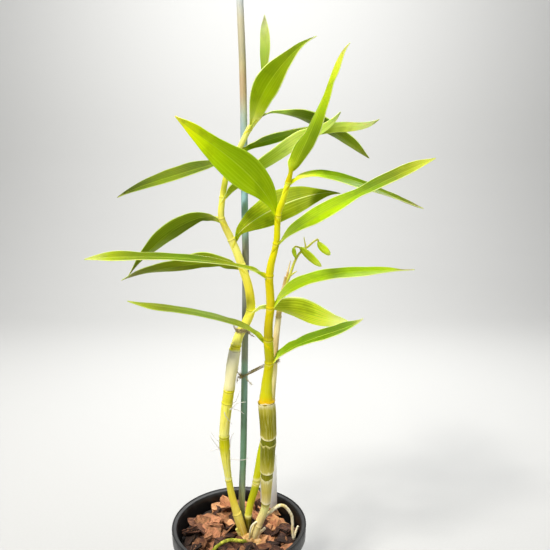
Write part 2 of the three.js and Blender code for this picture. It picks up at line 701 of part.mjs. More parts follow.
const aerialRoots = AERIAL_ROOTS.map((route) => solidOf(
  taperedRod(route, AERIAL_ROOT_RADIUS, AERIAL_ROOT_RADIUS * 0.8, 3, 4)));
place('left_cane', largestBody(joined([leftCane.solid(0), ...aerialRoots])), finish(0xc9c86a, 0.5));
place('front_cane', largestBody(frontCane.solid(0)), finish(0xb4b43c, 0.5));
place('old_cane', largestBody(oldCane.solid(0).add(stubSolid(0))), finish(0xb9ab7c, 0.7));
place('flower_spike', spikeGeometry(oldCane, [grown.old, stubSolid(GAP)]), finish(0xa9bf4a, 0.5));

LEFT_LEAVES.forEach((leaf, i) => {
  place(`left_cane_leaf_${i + 1}`, leafGeometry(leftCane, leaf, grown.left), finish(0x8db52e, 0.4));
});
FRONT_LEAVES.forEach((leaf, i) => {
  place(`front_cane_leaf_${i + 1}`, leafGeometry(frontCane, leaf, grown.front), finish(0x7fb01c, 0.4));
});

place('stake', largestBody(stakeStem.solid(0)), finish(0x5f8a7c, 0.6));
const jute = finish(0x6f5b3a, 0.95);
place('upper_tie', tieGeometry(TWINE.upper, oldCane, stakeStem, [grown.stake, grown.old]), jute);
place('lower_tie', tieGeometry(TWINE.lower, leftCane, stakeStem, [grown.stake, grown.left]), jute);
place('plant_label', labelGeometry(0), finish(0xeef0ee, 0.5));

export default orchid;
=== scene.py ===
# %% [markdown]
# # A dendrobium orchid in a nursery pot
# Three canes grow from one rhizome in a black plastic pot of bark. Two of them carry leaves, and the old one
# behind them is bare but for its flower spike. A green stake holds the plant up.
# The imported model gives every piece its place, so the first step loads it and keeps its parts where they
# are.

import math
import random
from collections import namedtuple

import bpy
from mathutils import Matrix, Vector, noise


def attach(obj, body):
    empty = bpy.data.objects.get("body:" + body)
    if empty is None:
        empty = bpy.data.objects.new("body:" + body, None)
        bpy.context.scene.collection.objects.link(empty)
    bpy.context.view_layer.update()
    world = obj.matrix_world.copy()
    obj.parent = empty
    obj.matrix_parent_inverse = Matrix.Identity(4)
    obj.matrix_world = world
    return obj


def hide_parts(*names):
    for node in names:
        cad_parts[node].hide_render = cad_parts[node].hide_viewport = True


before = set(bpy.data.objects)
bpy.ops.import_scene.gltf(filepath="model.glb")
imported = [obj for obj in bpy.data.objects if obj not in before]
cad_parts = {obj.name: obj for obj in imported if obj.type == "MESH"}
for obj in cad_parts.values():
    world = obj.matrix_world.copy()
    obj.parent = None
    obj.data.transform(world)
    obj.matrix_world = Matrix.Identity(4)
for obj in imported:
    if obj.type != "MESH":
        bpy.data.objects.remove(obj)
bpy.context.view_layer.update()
bpy.ops.object.select_all(action="DESELECT")
MM = 0.001

# %% [markdown]
# ## Smooth lines
# Stems, roots and ties all follow a smooth line through a few given points. A Catmull-Rom line goes
# through every point that it is given, so a kink in a cane stays where it was put.

# %% A smooth line through points, and values along it


def smooth_line(points, steps=12, closed=False):
    """Points on a smooth line through the given ones, with this many steps between two of them."""
    knots = [Vector(point) for point in points]
    if closed:
        knots = [knots[-1]] + knots + knots[:2]
    else:
        knots = [2 * knots[0] - knots[1]] + knots + [2 * knots[-1] - knots[-2]]
    line = []
    for a, b, c, d in zip(knots, knots[1:], knots[2:], knots[3:]):
        for k in range(steps):
            t = k / steps
            bend = 2 * a - 5 * b + 4 * c - d
            curl = 3 * b - a - 3 * c + d
            line.append(0.5 * (2 * b + (c - a) * t + bend * t * t + curl * t ** 3))
    return line if closed else line + [knots[-2]]


def value_at(pairs, x):
    """The value at x in a list of (x, value) pairs, straight between them."""
    if x <= pairs[0][0]:
        return pairs[0][1]
    for (x0, v0), (x1, v1) in zip(pairs, pairs[1:]):
        if x <= x1:
            return v0 + (v1 - v0) * (x - x0) / (x1 - x0)
    return pairs[-1][1]


def ease(x, low=0.0, high=1.0):
    """Rises gently from 0 at low to 1 at high."""
    t = min(max((x - low) / (high - low), 0), 1)
    return t * t * (3 - 2 * t)


def mixed(a, b, share):
    return a + (b - a) * share


class Stem:
    """The middle line of a stem and its radius, both by height, in millimetres."""

    def __init__(self, route, radius):
        self.line = smooth_line(route)
        self.widths = radius
        self.low = route[0][2]
        self.top = route[-1][2]

    def place(self, height):
        for low, high in zip(self.line, self.line[1:]):
            if height <= high.z or high is self.line[-1]:
                return low.lerp(high, (height - low.z) / (high.z - low.z))

    def direction(self, height):
        return (self.place(height + 0.6) - self.place(height - 0.6)).normalized()

    def radius(self, height):
        return value_at(self.widths, height)


# %% [markdown]
# ## Sheets that are rolled and bent
# A leaf, a cane and a root all start as the same thing: a flat grid with its own UV map. Its rows are then
# bent along a line, and for a stem they are rolled round it. Because the grid keeps its UV map, every
# pattern can follow the surface: veins run along a leaf, and fibres run up a cane. A cylinder could be bent
# instead, but its rings can't be put where the nodes of a cane are.

# %% The sheet, and how it becomes a tube


def sheet(name, columns, rows):
    bpy.ops.object.select_all(action="DESELECT")
    bpy.ops.mesh.primitive_grid_add(x_subdivisions=columns, y_subdivisions=rows, size=1)
    piece = bpy.context.object
    piece.name = name
    piece.data.name = name
    return piece


def bend_sheet(piece, columns, rows, place):
    """Moves each point of a sheet to place(across, row number), in millimetres."""
    points = piece.data.vertices
    for row in range(rows + 1):
        for column in range(columns + 1):
            points[row * (columns + 1) + column].co = place(column / columns, row) * MM


def select(pieces):
    bpy.ops.object.select_all(action="DESELECT")
    for piece in pieces:
        piece.select_set(True)
    bpy.context.view_layer.objects.active = pieces[0]


def weld(piece, distance=0.01):
    """Merges the points of a seam or a pole, and turns every face outwards."""
    select([piece])
    bpy.ops.object.mode_set(mode="EDIT")
    bpy.ops.mesh.select_all(action="SELECT")
    bpy.ops.mesh.remove_doubles(threshold=distance * MM)
    bpy.ops.mesh.normals_make_consistent(inside=False)
    bpy.ops.object.mode_set(mode="OBJECT")


def sides_of(line, closed=False):
    """The direction of a line at each point, and two directions across it that don't spin."""
    last = len(line) - 1
    side = Vector((0, 1, 0))
    found = []
    for i in range(len(line)):
        before = line[i - 1] if closed or i > 0 else line[0]
        after = line[(i + 1) % len(line)] if closed or i < last else line[last]
        ahead = (after - before).normalized()
        side = side - ahead * side.dot(ahead)
        if side.length < 0.2:
            side = ahead.orthogonal()
        side = side.normalized()
        found.append((ahead, side, ahead.cross(side)))
    return found


def no_relief(turn, row):
    return 0


def tube(name, line, radii, columns, relief=no_relief, ring=None):
    """A closed round rod. relief(turn, row) adds to its radius, in millimetres. ring(turn, row) is kept."""
    rows = len(line) + 1
    frames = sides_of(line)
    piece = sheet(name, columns, rows)

    def place(across, row):
        at = min(max(row - 1, 0), len(line) - 1)
        if row in (0, rows):
            return line[at].copy()
        turn = 2 * math.pi * across
        radius = radii[at] + relief(turn, at)
        return line[at] + (frames[at][1] * math.cos(turn) + frames[at][2] * math.sin(turn)) * radius

    bend_sheet(piece, columns, rows, place)
    if ring:
        kept = piece.data.attributes.new("off_node", "FLOAT", "POINT")
        for i in range(len(kept.data)):
            row, column = divmod(i, columns + 1)
            kept.data[i].value = ring(2 * math.pi * column / columns, min(max(row - 1, 0), len(line) - 1))
    weld(piece)
    bpy.ops.object.shade_smooth()
    return piece


def stem_tube(name, stem, step, columns, relief=no_relief, ring=None):
    """A tube along a whole stem. Here relief and ring take a turn and a height."""
    length = stem.top - stem.low
    count = round(length / step)
    heights = [stem.low + length * i / count for i in range(count + 1)]
    line = [stem.place(height) for height in heights]
    radii = [stem.radius(height) for height in heights]
    return tube(name, line, radii, columns, lambda turn, row: relief(turn, heights[row]),
                ring and (lambda turn, row: ring(turn, heights[row])))


def joined(name, pieces):
    select(pieces)
    bpy.ops.object.join()
    pieces[0].name = name
    pieces[0].data.name = name
    return pieces[0]


def apply_modifier(piece, kind, **settings):
    select([piece])
    modifier = piece.modifiers.new(kind.lower(), kind)
    for setting, value in settings.items():
        setattr(modifier, setting, value)
    bpy.ops.object.modifier_apply(modifier=modifier.name)


def dress(piece, slot, nodes, *finishes):
    """Gives a finished piece its materials, hides the model's parts that it stands for and hangs it from the
    root.
    """
    for finish in finishes:
        piece.data.materials.append(finish)
    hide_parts(*nodes)
    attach(piece, "root")
    print(piece.name, "has", len(piece.data.polygons), "faces")


# %% [markdown]
# ## Finishes as sums
# A material is a graph of nodes, and most of them are plain arithmetic on a pattern. Wrapping a node's
# output in a small class lets that arithmetic be written as Python: `1 - mask * 0.5` adds the two Math
# nodes itself. Every other node comes from one method, which takes its type, its settings and what goes
# into its sockets.

# %% A class for a node's output, and one for a finish


class Link:
    """The output of a node. Sums on it add Math nodes."""

    def __init__(self, finish, socket):
        self.finish = finish
        self.socket = socket

    def sum_of(self, operation, *values):
        return self.finish.node("ShaderNodeMath", {"operation": operation}, dict(enumerate(values)))

    def __add__(self, other):
        return self.sum_of("ADD", self, other)

    __radd__ = __add__

    def __sub__(self, other):
        return self.sum_of("SUBTRACT", self, other)

    def __rsub__(self, other):
        return self.sum_of("SUBTRACT", other, self)

    def __mul__(self, other):
        return self.sum_of("MULTIPLY", self, other)

    __rmul__ = __mul__

    def __pow__(self, other):
        return self.sum_of("POWER", self, other)

    def __abs__(self):
        return self.sum_of("ABSOLUTE", self)

    def at_least(self, low):
        return self.sum_of("MAXIMUM", self, low)

    def wave(self):
        """A wave between 0 and 1, one for each whole number."""
        return self.sum_of("SINE", self * (2 * math.pi)) * 0.5 + 0.5


class Finish:
    """A material whose pattern is built up from sums."""

    def __init__(self, name):
        self.material = bpy.data.materials.new(name)
        self.material.use_nodes = True
        self.tree = self.material.node_tree
        self.tree.nodes.clear()

    def node(self, kind, settings=None, inputs=None, output=0):
        made = self.tree.nodes.new(kind)
        for setting, value in (settings or {}).items():
            setattr(made, setting, value)
        for socket, value in (inputs or {}).items():
            if isinstance(value, Link):
                self.tree.links.new(value.socket, made.inputs[socket])
            else:
                made.inputs[socket].default_value = value
        return Link(self, made.outputs[output])

    def spot(self):
        """Where a point is on the piece, in millimetres."""
        place = self.node("ShaderNodeTexCoord", output="Object")
        return self.node("ShaderNodeVectorMath", {"operation": "SCALE"}, {0: place, "Scale": 1 / MM})

    def axis(self, vector, name):
        return self.node("ShaderNodeSeparateXYZ", inputs={0: vector}, output=name)

    def across_and_along(self):
        uv = self.node("ShaderNodeTexCoord", output="UV")
        return self.axis(uv, "X"), self.axis(uv, "Y")

    def vector(self, x, y, z):
        return self.node("ShaderNodeCombineXYZ", inputs={0: x, 1: y, 2: z})

    def stretched(self, vector, x, y, z):
        return self.node("ShaderNodeVectorMath", {"operation": "MULTIPLY"}, {0: vector, 1: (x, y, z)})

    def clouds(self, vector, scale, detail=3, roughness=0.5):
        return self.node("ShaderNodeTexNoise", inputs={
            "Vector": vector, "Scale": scale, "Detail": detail, "Roughness": roughness})

    def rise(self, value, low, high):
        """0 below low, 1 above high and smooth between them."""
        return self.node("ShaderNodeMapRange", {"interpolation_type": "SMOOTHSTEP"}, {
            "Value": value, "From Min": low, "From Max": high})

    def blend(self, share, first, second):
        return self.node("ShaderNodeMix", {"data_type": "RGBA"}, {0: share, 6: first, 7: second}, output=2)

    def layered(self, colour, *layers):
        """A colour with layers of (share, colour) over it."""
        for share, tone in layers:
            colour = self.blend(share, colour, tone)
        return colour

    def ramp(self, value, stops):
        low, high = stops[0][0], stops[-1][0]
        share = (value - low) * (1 / (high - low))
        ramp = self.tree.nodes.new("ShaderNodeValToRGB")
        marks = ramp.color_ramp.elements
        while len(marks) < len(stops):
            marks.new(0.5)
        for mark, (stop, colour) in zip(marks, stops):
            mark.position = (stop - low) / (high - low)
            mark.color = colour
        self.tree.links.new(share.socket, ramp.inputs[0])
        return Link(self, ramp.outputs[0])

    def bands(self, value, stops):
        """Colours at the given values and straight between them, from rows of value, red, green and blue."""
        return self.ramp(value, [(stop, paint(*tones)) for stop, *tones in stops])

    def shares(self, value, stops):
        """Numbers from 0 to 1 at the given values and straight between them."""
        return self.axis(self.ramp(value, [(stop, (share, share, share, 1)) for stop, share in stops]), "X")

    def surface(self, colour, roughness, height=None, depth=0.1, **fixed):
        """Ends the graph. height is a bump from 0 to 1 that is depth millimetres deep."""
        inputs = {"Base Color": colour, "Roughness": roughness}
        inputs.update({name.replace("_", " "): value for name, value in fixed.items()})
        if height is not None:
            inputs["Normal"] = self.node("ShaderNodeBump", inputs={
                "Height": height, "Strength": 1.0, "Distance": depth * MM})
        shader = self.node("ShaderNodeBsdfPrincipled", inputs=inputs)
        output = self.tree.nodes.new("ShaderNodeOutputMaterial")
        self.tree.links.new(shader.socket, output.inputs["Surface"])
        return self.material


def paint(red, green, blue):
    """A colour from its screen values."""
    def linear(value):
        value /= 255
        return value / 12.92 if value <= 0.04045 else ((value + 0.055) / 1.055) ** 2.4
    return (linear(red), linear(green), linear(blue), 1)


# %% [markdown]
# ## Camera and light
# The camera stands 45 cm in front of the plant, a little above its middle, and looks slightly down. One
# soft light stands high on the left, as the main one. A weaker one fills the shadows from the right, one
# lights the leaves from behind and one the wall. The pale surroundings do the rest.

# %% Camera
CAMERA_PLACE = (32, -450, 386)
CAMERA_TILT = 7.3

bpy.ops.object.camera_add(
    location=Vector(CAMERA_PLACE) * MM, rotation=(math.radians(90 - CAMERA_TILT), 0, 0))
camera = bpy.context.object
camera.name = "camera"
camera.data.lens = 35
camera.data.sensor_width = 36
camera.data.clip_start = 0.01
bpy.context.scene.camera = camera

# %% Lights and surroundings


def soft_light(name, place, aim, size, power, colour):
    place = Vector(place) * MM
    facing = (Vector(aim) * MM - place).to_track_quat("-Z", "Y").to_euler()
    bpy.ops.object.light_add(type="AREA", location=place, rotation=facing)
    light = bpy.context.object
    light.name = name
    light.data.shape = "DISK"
    light.data.size = size * MM
    light.data.energy = power
    light.data.color = colour


MIDDLE = (20, 0, 320)
soft_light("main_light", (-620, -870, 1560), MIDDLE, 260, 31, (1, 0.97, 0.92))
soft_light("fill_light", (1100, -700, 600), MIDDLE, 900, 4, (0.93, 0.96, 1))
soft_light("back_light", (300, 900, 1100), MIDDLE, 700, 5, (1, 1, 1))
soft_light("wall_light", (0, 500, 1700), (0, 2000, 500), 1200, 52, (1, 1, 1))

world = bpy.data.worlds.new("surroundings")
world.use_nodes = True
world.node_tree.nodes["Background"].inputs["Color"].default_value = (0.9, 0.93, 1, 1)
world.node_tree.nodes["Background"].inputs["Strength"].default_value = 0.2
bpy.context.scene.world = world
bpy.context.scene.view_settings.view_transform = "Standard"

# %% [markdown]
# ## The studio floor
# A pale sheet lies under the pot and rises behind it in one curve, so no line shows where floor and wall
# meet.

# %% Floor
FLOOR_REACH = 2600
FLOOR_BACK = 1300
WALL_CURVE = 700
CURVE_TRAVEL = 1.57 * WALL_CURVE
FLOOR_COLUMNS = 2
FLOOR_ROWS = 48

floor = sheet("studio_floor", FLOOR_COLUMNS, FLOOR_ROWS)


def floor_place(across, row):
    x = (across - 0.5) * 2 * FLOOR_REACH
    travel = row / FLOOR_ROWS * (FLOOR_REACH + FLOOR_BACK + CURVE_TRAVEL + FLOOR_REACH)
    flat = FLOOR_REACH + FLOOR_BACK
    if travel < flat:
        return Vector((x, travel - FLOOR_REACH, 0))
    turn = min((travel - flat) / WALL_CURVE, math.pi / 2)
    above = max(travel - flat - CURVE_TRAVEL, 0)
    return Vector((x, FLOOR_BACK + WALL_CURVE * math.sin(turn), WALL_CURVE * (1 - math.cos(turn)) + above))


bend_sheet(floor, FLOOR_COLUMNS, FLOOR_ROWS, floor_place)
bpy.ops.object.shade_smooth()
pale = Finish("studio_paper")
paper_grain = pale.clouds(pale.spot(), 0.4, 2)
floor.data.materials.append(pale.surface(
    pale.blend(paper_grain, paint(176, 176, 174), paint(181, 181, 179)), 0.9))

# %% [markdown]
# ## The nursery pot
# A thin black plastic pot, 120 mm across. On the real one the wall is moulded in one piece with a flared
# collar under a rolled lip. It is made as on a lathe: a tiny circle in the middle of the underside is
# extruded and scaled ring by ring, out along the foot, up the wall, round the collar and lip and down the
# inside. A Boolean then drills the drainage holes.

# %% Pot
POT_STEPS = 96
POT_RINGS = [
    (0.01, 0.8), (20, 0.8), (36, 0.8), (38, 0), (41.2, 0), (42.4, 0.5), (43, 1.6), (46.9, 30), (51.5, 60),
    (56.4, 90), (57.2, 93), (57.2, 101.5), (57.8, 101.9), (58.2, 101), (58.1, 93.4), (58.5, 93), (59.3, 93),
    (59.6, 93.4), (59.8, 100.4), (60, 101.2), (60, 104.2), (59.8, 104.8), (59.4, 105), (59, 104.8),
    (58.7, 104.2), (57.4, 103.9), (56.3, 103.7), (55.7, 103.1), (55.2, 99), (54.5, 93), (48.5, 50),
    (41.8, 5), (41, 3.3), (39.5, 3), (20, 3), (0.01, 3),
]
HOLE_COUNT = 6
HOLE_RADIUS = 4.5
HOLE_CIRCLE = 29
DRILL_HEIGHT = 2
DRILL_DEPTH = 12


def turned(name, rings, steps):
    """A shape made from one circle, extruded and scaled from ring to ring."""
    radius, height = rings[0]
    bpy.ops.object.select_all(action="DESELECT")
    bpy.ops.mesh.primitive_circle_add(
        vertices=steps, radius=radius * MM, fill_type="NOTHING", location=(0, 0, height * MM))
    piece = bpy.context.object
    piece.name = name
    piece.data.name = name
    bpy.ops.object.transform_apply(location=True)
    bpy.ops.object.mode_set(mode="EDIT")
    bpy.ops.mesh.select_all(action="SELECT")
    for next_radius, next_height in rings[1:]:
        bpy.ops.mesh.extrude_region_move(
            TRANSFORM_OT_translate={"value": (0, 0, (next_height - height) * MM)})
        wider = next_radius / radius
        bpy.ops.transform.resize(value=(wider, wider, 1), center_override=(0, 0, next_height * MM))
        radius, height = next_radius, next_height
    bpy.ops.object.mode_set(mode="OBJECT")
    weld(piece, 0.05)
    return piece


def drilled(piece, places, radius, height, depth):
    drills = []
    for x, y in places:
        bpy.ops.mesh.primitive_cylinder_add(
            vertices=24, radius=radius * MM, depth=depth * MM, location=(x * MM, y * MM, height * MM))
        drills.append(bpy.context.object)
    drill = joined("drill", drills)
    apply_modifier(piece, "BOOLEAN", operation="DIFFERENCE", object=drill, solver="EXACT")
    bpy.data.objects.remove(drill)


pot = turned("nursery_pot", POT_RINGS, POT_STEPS)
hole_turns = [2 * math.pi * i / HOLE_COUNT for i in range(HOLE_COUNT)]
hole_places = [(HOLE_CIRCLE * math.cos(turn), HOLE_CIRCLE * math.sin(turn)) for turn in hole_turns]
drilled(pot, hole_places, HOLE_RADIUS, DRILL_HEIGHT, DRILL_DEPTH)
select([pot])
bpy.ops.object.shade_smooth_by_angle(angle=math.radians(40))

# %% [markdown]
# The plastic is black with a soft sheen, with pale grey marks and fine scratches that catch the light,
# more of them towards the lip.

# %% Black plastic
black = Finish("black_plastic")
pot_spot = black.spot()
pot_height = black.axis(pot_spot, "Z")
film = black.clouds(pot_spot, 0.12, 5, 0.6)
scratches = black.clouds(black.stretched(pot_spot, 1, 1, 9), 0.5, 4, 0.7)
# Pale grey marks and scratches, more of them towards the lip.
near_lip = black.rise(pot_height, 88, 104)
pale_marks = black.rise(film * 0.6 + scratches * 0.5 + near_lip * 0.14, 0.62, 0.95)
dress(pot, "pot_plastic", ["pot"], black.surface(
    black.blend(pale_marks * 0.5, paint(10, 10, 11), paint(66, 67, 66)),
    pale_marks * 0.3 + film * 0.2 + 0.3,
    scratches * 0.6 + film * 0.4, 0.12))

# %% [markdown]
# ## The bark
# Orchid bark is split pine bark: flat angular chips in layers, salmon and terracotta where they are fresh
# and dark purple-brown where they are wet. A few chips are modelled well, each as a box that is cut by
# slanting planes, bevelled and roughened. Copies of them are turned and dropped over a dark bed, so that no
# two look alike.

# %% One chip of bark
CHIP_KINDS = 6
CHIP_BLOCK = (20, 13, 5)
CHIP_ENDS = 5
CHIP_BEVEL = 0.5
chance = random.Random(7)


def cut_plane(normal, distance):
    bpy.ops.mesh.select_all(action="SELECT")
    bpy.ops.mesh.bisect(plane_co=normal * distance * MM, plane_no=normal, use_fill=True, clear_outer=True)


def bark_chip(number):
    """A flat chip with slanting broken ends. Its grain runs along X."""
    bpy.ops.object.select_all(action="DESELECT")
    bpy.ops.mesh.primitive_cube_add(size=1, scale=[side * MM for side in CHIP_BLOCK])
    chip = bpy.context.object
    chip.name = f"chip_{number}"
    bpy.ops.object.transform_apply(scale=True)
    bpy.ops.object.mode_set(mode="EDIT")
    for turn in range(CHIP_ENDS):
        angle = 2 * math.pi * turn / CHIP_ENDS + chance.uniform(-0.5, 0.5)
        slant = Vector((math.cos(angle), math.sin(angle), chance.uniform(-0.5, 0.5))).normalized()
        cut_plane(slant, 4.6 + 3.4 * abs(math.cos(angle)) + chance.uniform(-0.8, 0.8))
    for up in (-1, 1):
        slant = Vector((chance.uniform(-0.25, 0.25), chance.uniform(-0.35, 0.35), up)).normalized()
        cut_plane(slant, chance.uniform(1.3, 2.3))
    bpy.ops.mesh.select_all(action="SELECT")
    bpy.ops.mesh.bevel(offset=CHIP_BEVEL * MM, segments=2)
    bpy.ops.mesh.select_all(action="SELECT")
    bpy.ops.mesh.quads_convert_to_tris()
    bpy.ops.mesh.subdivide(number_cuts=2)
    bpy.ops.object.mode_set(mode="OBJECT")
    for point in chip.data.vertices:
        spot = point.co / MM + Vector((50 * number, 0, 0))
        layer = noise.noise(Vector((spot.x * 0.12, spot.y * 0.2, spot.z * 1.1)))
        lump = noise.noise(spot * 0.22)
        point.co += Vector((point.co.x, point.co.y, 0)).normalized() * layer * 1.4 * MM
        point.co.z += lump * 1.5 * MM
    return chip


chip_kinds = [bark_chip(number) for number in range(CHIP_KINDS)]
print("a chip has", len(chip_kinds[0].data.polygons), "faces")

# %% [markdown]
# Each copy keeps where its points were on the chip in an attribute called `grain`, so its layers turn with
# it, and a tone in `chip_tone`: its own, with painted shade at the front left and painted light at the rear
# right. The top chips stand where they show, against the rear wall and round the canes. The rest are spread
# evenly, by turning a golden angle from one to the next.

# %% Drop the chips
BED_LEVEL = 88
BED_BANK = 7
WALL_REACH = 50
CANE_FOOT = (7, -5)
GOLDEN_TURN = math.pi * (3 - math.sqrt(5))


def bed_height(x, y):
    """The bark is heaped up against the rear wall, most of all on the left."""
    return BED_LEVEL + BED_BANK * max(0, (0.85 * y - 0.4 * x) / WALL_REACH)


def drop_chip(kind, place, turn, size, tone):
    chip = kind.copy()
    chip.data = kind.data.copy()
    bpy.context.collection.objects.link(chip)
    chip.data.attributes.new("grain", "FLOAT_VECTOR", "POINT")
    chip.data.attributes.new("chip_tone", "FLOAT", "POINT")
    offset = Vector((tone * 170, tone * 90, tone * 40))
    for point in chip.data.vertices:
        chip.data.attributes["grain"].data[point.index].vector = point.co / MM + offset
        chip.data.attributes["chip_tone"].data[point.index].value = tone
    chip.rotation_euler = turn
    chip.scale = size
    chip.location = Vector(place) * MM
    return chip


def over_green_root(x, y):
    """Where the upper chips leave the green root in sight."""
    return -26 < x < 10 and abs(y + 16) < 8


def scatter_chips(count, reach, lift, tilt, grow, clear):
    """clear is the room left round the foot of the canes. Chips get painted shade towards the front."""
    dropped = []
    for i in range(count):
        distance = reach * math.sqrt((i + 0.5) / count)
        angle = i * GOLDEN_TURN + chance.uniform(-0.3, 0.3)
        x, y = distance * math.cos(angle), distance * math.sin(angle)
        if math.hypot(x - CANE_FOOT[0], y - CANE_FOOT[1]) < clear or (lift > 2 and over_green_root(x, y)):
            continue
        turn = (chance.uniform(-tilt, tilt), chance.uniform(-tilt, tilt), chance.uniform(0, 2 * math.pi))
        size = [grow * chance.uniform(0.75, 1.15) for _ in range(3)]
        place = (x, y, bed_height(x, y) + lift * chance.uniform(0, 1))
        # A chip's tone is random, plus painted light at the rear right and painted shade at the front left.
        tone = 0.75 * chance.random() + 0.13 + 0.004 * y + 0.001 * x
        dropped.append(drop_chip(chip_kinds[i % CHIP_KINDS], place, turn, size, tone))
    return dropped


# count, reach, lift, tilt, grow and clear of each layer, from the bottom up
CHIP_LAYERS = [(40, 46, 1.5, 0.5, 1.3, 8), (34, 46, 5, 0.9, 1.2, 14), (26, 44, 6.5, 1.0, 0.85, 15)]
bark = joined("bark_chips", [chip for layer in CHIP_LAYERS for chip in scatter_chips(*layer)])
bpy.ops.object.transform_apply(location=True, rotation=True, scale=True)
for kind in chip_kinds:
    bpy.data.objects.remove(kind)
bpy.ops.object.shade_smooth_by_angle(angle=math.radians(35))

# %% The dark bed under the chips
BED_RINGS = [
    (0.01, 4), (38, 4), (40.6, 5), (47.2, 50), (52.6, 83), (50, 85), (36, 86), (18, 86.5), (0.01, 86.5),
]
BED_STEPS = 72
BED_TOP = 80
BED_LUMPS = 1.6

bed = turned("bark_bed", BED_RINGS, BED_STEPS)
bpy.ops.object.mode_set(mode="EDIT")
bpy.ops.mesh.select_all(action="SELECT")
bpy.ops.mesh.subdivide(number_cuts=2)
bpy.ops.object.mode_set(mode="OBJECT")
for point in bed.data.vertices:
    if point.co.z > BED_TOP * MM:
        spot = point.co / MM
        point.co.z += (bed_height(spot.x, spot.y) - BED_LEVEL + BED_LUMPS * noise.noise(spot * 0.25)) * MM
bpy.ops.object.shade_smooth()

# %% [markdown]
# Bark breaks along its layers. The finish stretches one noise thin along the chip's thickness for those
# layers, and another along its length for the fibres. The tone of each chip, with its painted light and
# shade, picks a colour between fresh and wet, and faces that point up are painted paler, as painted light
# from above.

# %% Bark finish


def bark_finish(finish, grain, tone, tones):
    """grain is where a point is on its chip, and tone is how pale the chip is."""
    layers = finish.clouds(finish.stretched(grain, 0.25, 0.35, 1.6), 1, 4, 0.6)
    fibres = finish.clouds(finish.stretched(grain, 0.18, 1.4, 0.8), 1, 5, 0.65)
    patches = finish.clouds(grain, 0.16, 3)
    # Faces that point up are painted paler: painted light from above.
    facing = finish.node("ShaderNodeNewGeometry", output="Normal")
    top = finish.rise(finish.axis(facing, "Z"), 0.1, 0.85)
    shade = tone * 0.8 + layers * 0.5 + patches * 0.4 + top * 0.2 - 0.62
    fleck = finish.rise(fibres, 0.56, 0.78)
    dark = finish.rise(fibres, 0.48, 0.3)
    colour = finish.layered(
        finish.bands(shade, tones), (fleck * 0.5, paint(224, 176, 124)), (dark * 0.8, paint(28, 13, 6)))
    return finish.surface(colour, 0.86 - fleck * 0.1, layers * 0.5 + fibres * 0.5, 0.9)


chip_finish = Finish("bark")
chip_grain = chip_finish.node("ShaderNodeAttribute", {"attribute_name": "grain"}, output="Vector")
chip_tone = chip_finish.node("ShaderNodeAttribute", {"attribute_name": "chip_tone"}, output="Fac")
CHIP_TONES = [
    (0.0, 22, 11, 5), (0.15, 42, 22, 12), (0.3, 76, 44, 30), (0.42, 112, 68, 42), (0.52, 140, 98, 60),
    (0.62, 182, 118, 82), (0.74, 184, 134, 84), (0.87, 220, 160, 116), (1.0, 240, 204, 156),
]
dress(bark, "bark", ["bark_medium"], bark_finish(chip_finish, chip_grain, chip_tone, CHIP_TONES))

bed_finish = Finish("bark_bed_shade")
bed_spot = bed_finish.spot()
# The bed is painted almost black: painted shade for the deep gaps between the chips.
BED_TONES = [(0.0, 8, 5, 3), (0.6, 18, 10, 6), (1.0, 40, 23, 13)]
dress(bed, "bark", ["bark_medium"], bark_finish(
    bed_finish, bed_spot, bed_finish.clouds(bed_spot, 0.5, 2), BED_TONES))

# %% [markdown]
# ## The stake
# A thin steel stake in a green plastic coat. Sun and water have bleached the coat near its top and left it
# cream and chalky there, with fine lines along it. It is a tube along its own slightly bowed line.

# %% Stake
STAKE_RADIUS = 3
STAKE_STEP = 1.6
STAKE_COLUMNS = 20
STAKE_ROUTE = [
    (0, 20.5, 3.6), (0.8, 20, 108), (2.8, 20, 163), (4.3, 20, 234), (6, 20, 330), (5.5, 20, 392),
    (5, 20, 487), (2.9, 20, 556), (1.3, 20, 604),
]
stake_stem = Stem(STAKE_ROUTE, [(point[2], STAKE_RADIUS) for point in STAKE_ROUTE])


def stake_relief(turn, height):
    """Shallow dents, and both ends rounded off."""
    dents = noise.noise(Vector((math.cos(turn), math.sin(turn), height * 0.05)))
    rounded = -1.2 * (1 - ease(stake_stem.top - height, 0, 1.6))
    rounded -= 0.8 * (1 - ease(height - stake_stem.low, 0, 1.2))
    return 0.07 * dents + rounded


stake = stem_tube("stake", stake_stem, STAKE_STEP, STAKE_COLUMNS, stake_relief)

coat = Finish("weathered_green_coat")
coat_spot = coat.spot()
coat_height = coat.axis(coat_spot, "Z") + coat.clouds(coat_spot, 0.05, 3) * 16 - 8
coat_streaks = coat.clouds(coat.stretched(coat_spot, 1.4, 1.4, 0.09), 1, 5, 0.65)
# From 108 to 132 mm the bands are painted paler: painted light that offsets the shadow of the canes.
COAT_BANDS = [
    (90, 120, 130, 96), (108, 168, 178, 150), (120, 184, 196, 164), (132, 140, 166, 144),
    (150, 114, 156, 130), (192, 98, 132, 108), (204, 106, 144, 124), (228, 130, 170, 156),
    (243, 140, 182, 166), (251, 140, 150, 130), (300, 124, 130, 118), (350, 124, 126, 108),
    (360, 124, 144, 130), (366, 150, 188, 190), (396, 148, 192, 200), (404, 130, 150, 140),
    (448, 156, 182, 190), (460, 176, 190, 184), (468, 186, 184, 162), (480, 196, 172, 136),
    (492, 198, 172, 130), (504, 200, 188, 140), (516, 190, 182, 146), (540, 202, 194, 160),
    (556, 206, 212, 206), (604, 198, 212, 212),
]
coat_worn = coat.rise(coat_streaks, 0.56, 0.74)
coat_dark = coat.rise(coat_streaks, 0.45, 0.3)
coat_colour = coat.layered(
    coat.bands(coat_height, COAT_BANDS),
    (coat_worn * 0.45, paint(206, 212, 200)), (coat_dark * 0.4, paint(56, 78, 70)))
dress(stake, "stake", ["stake"], coat.surface(coat_colour, coat_worn * 0.25 + 0.42, coat_streaks, 0.15))

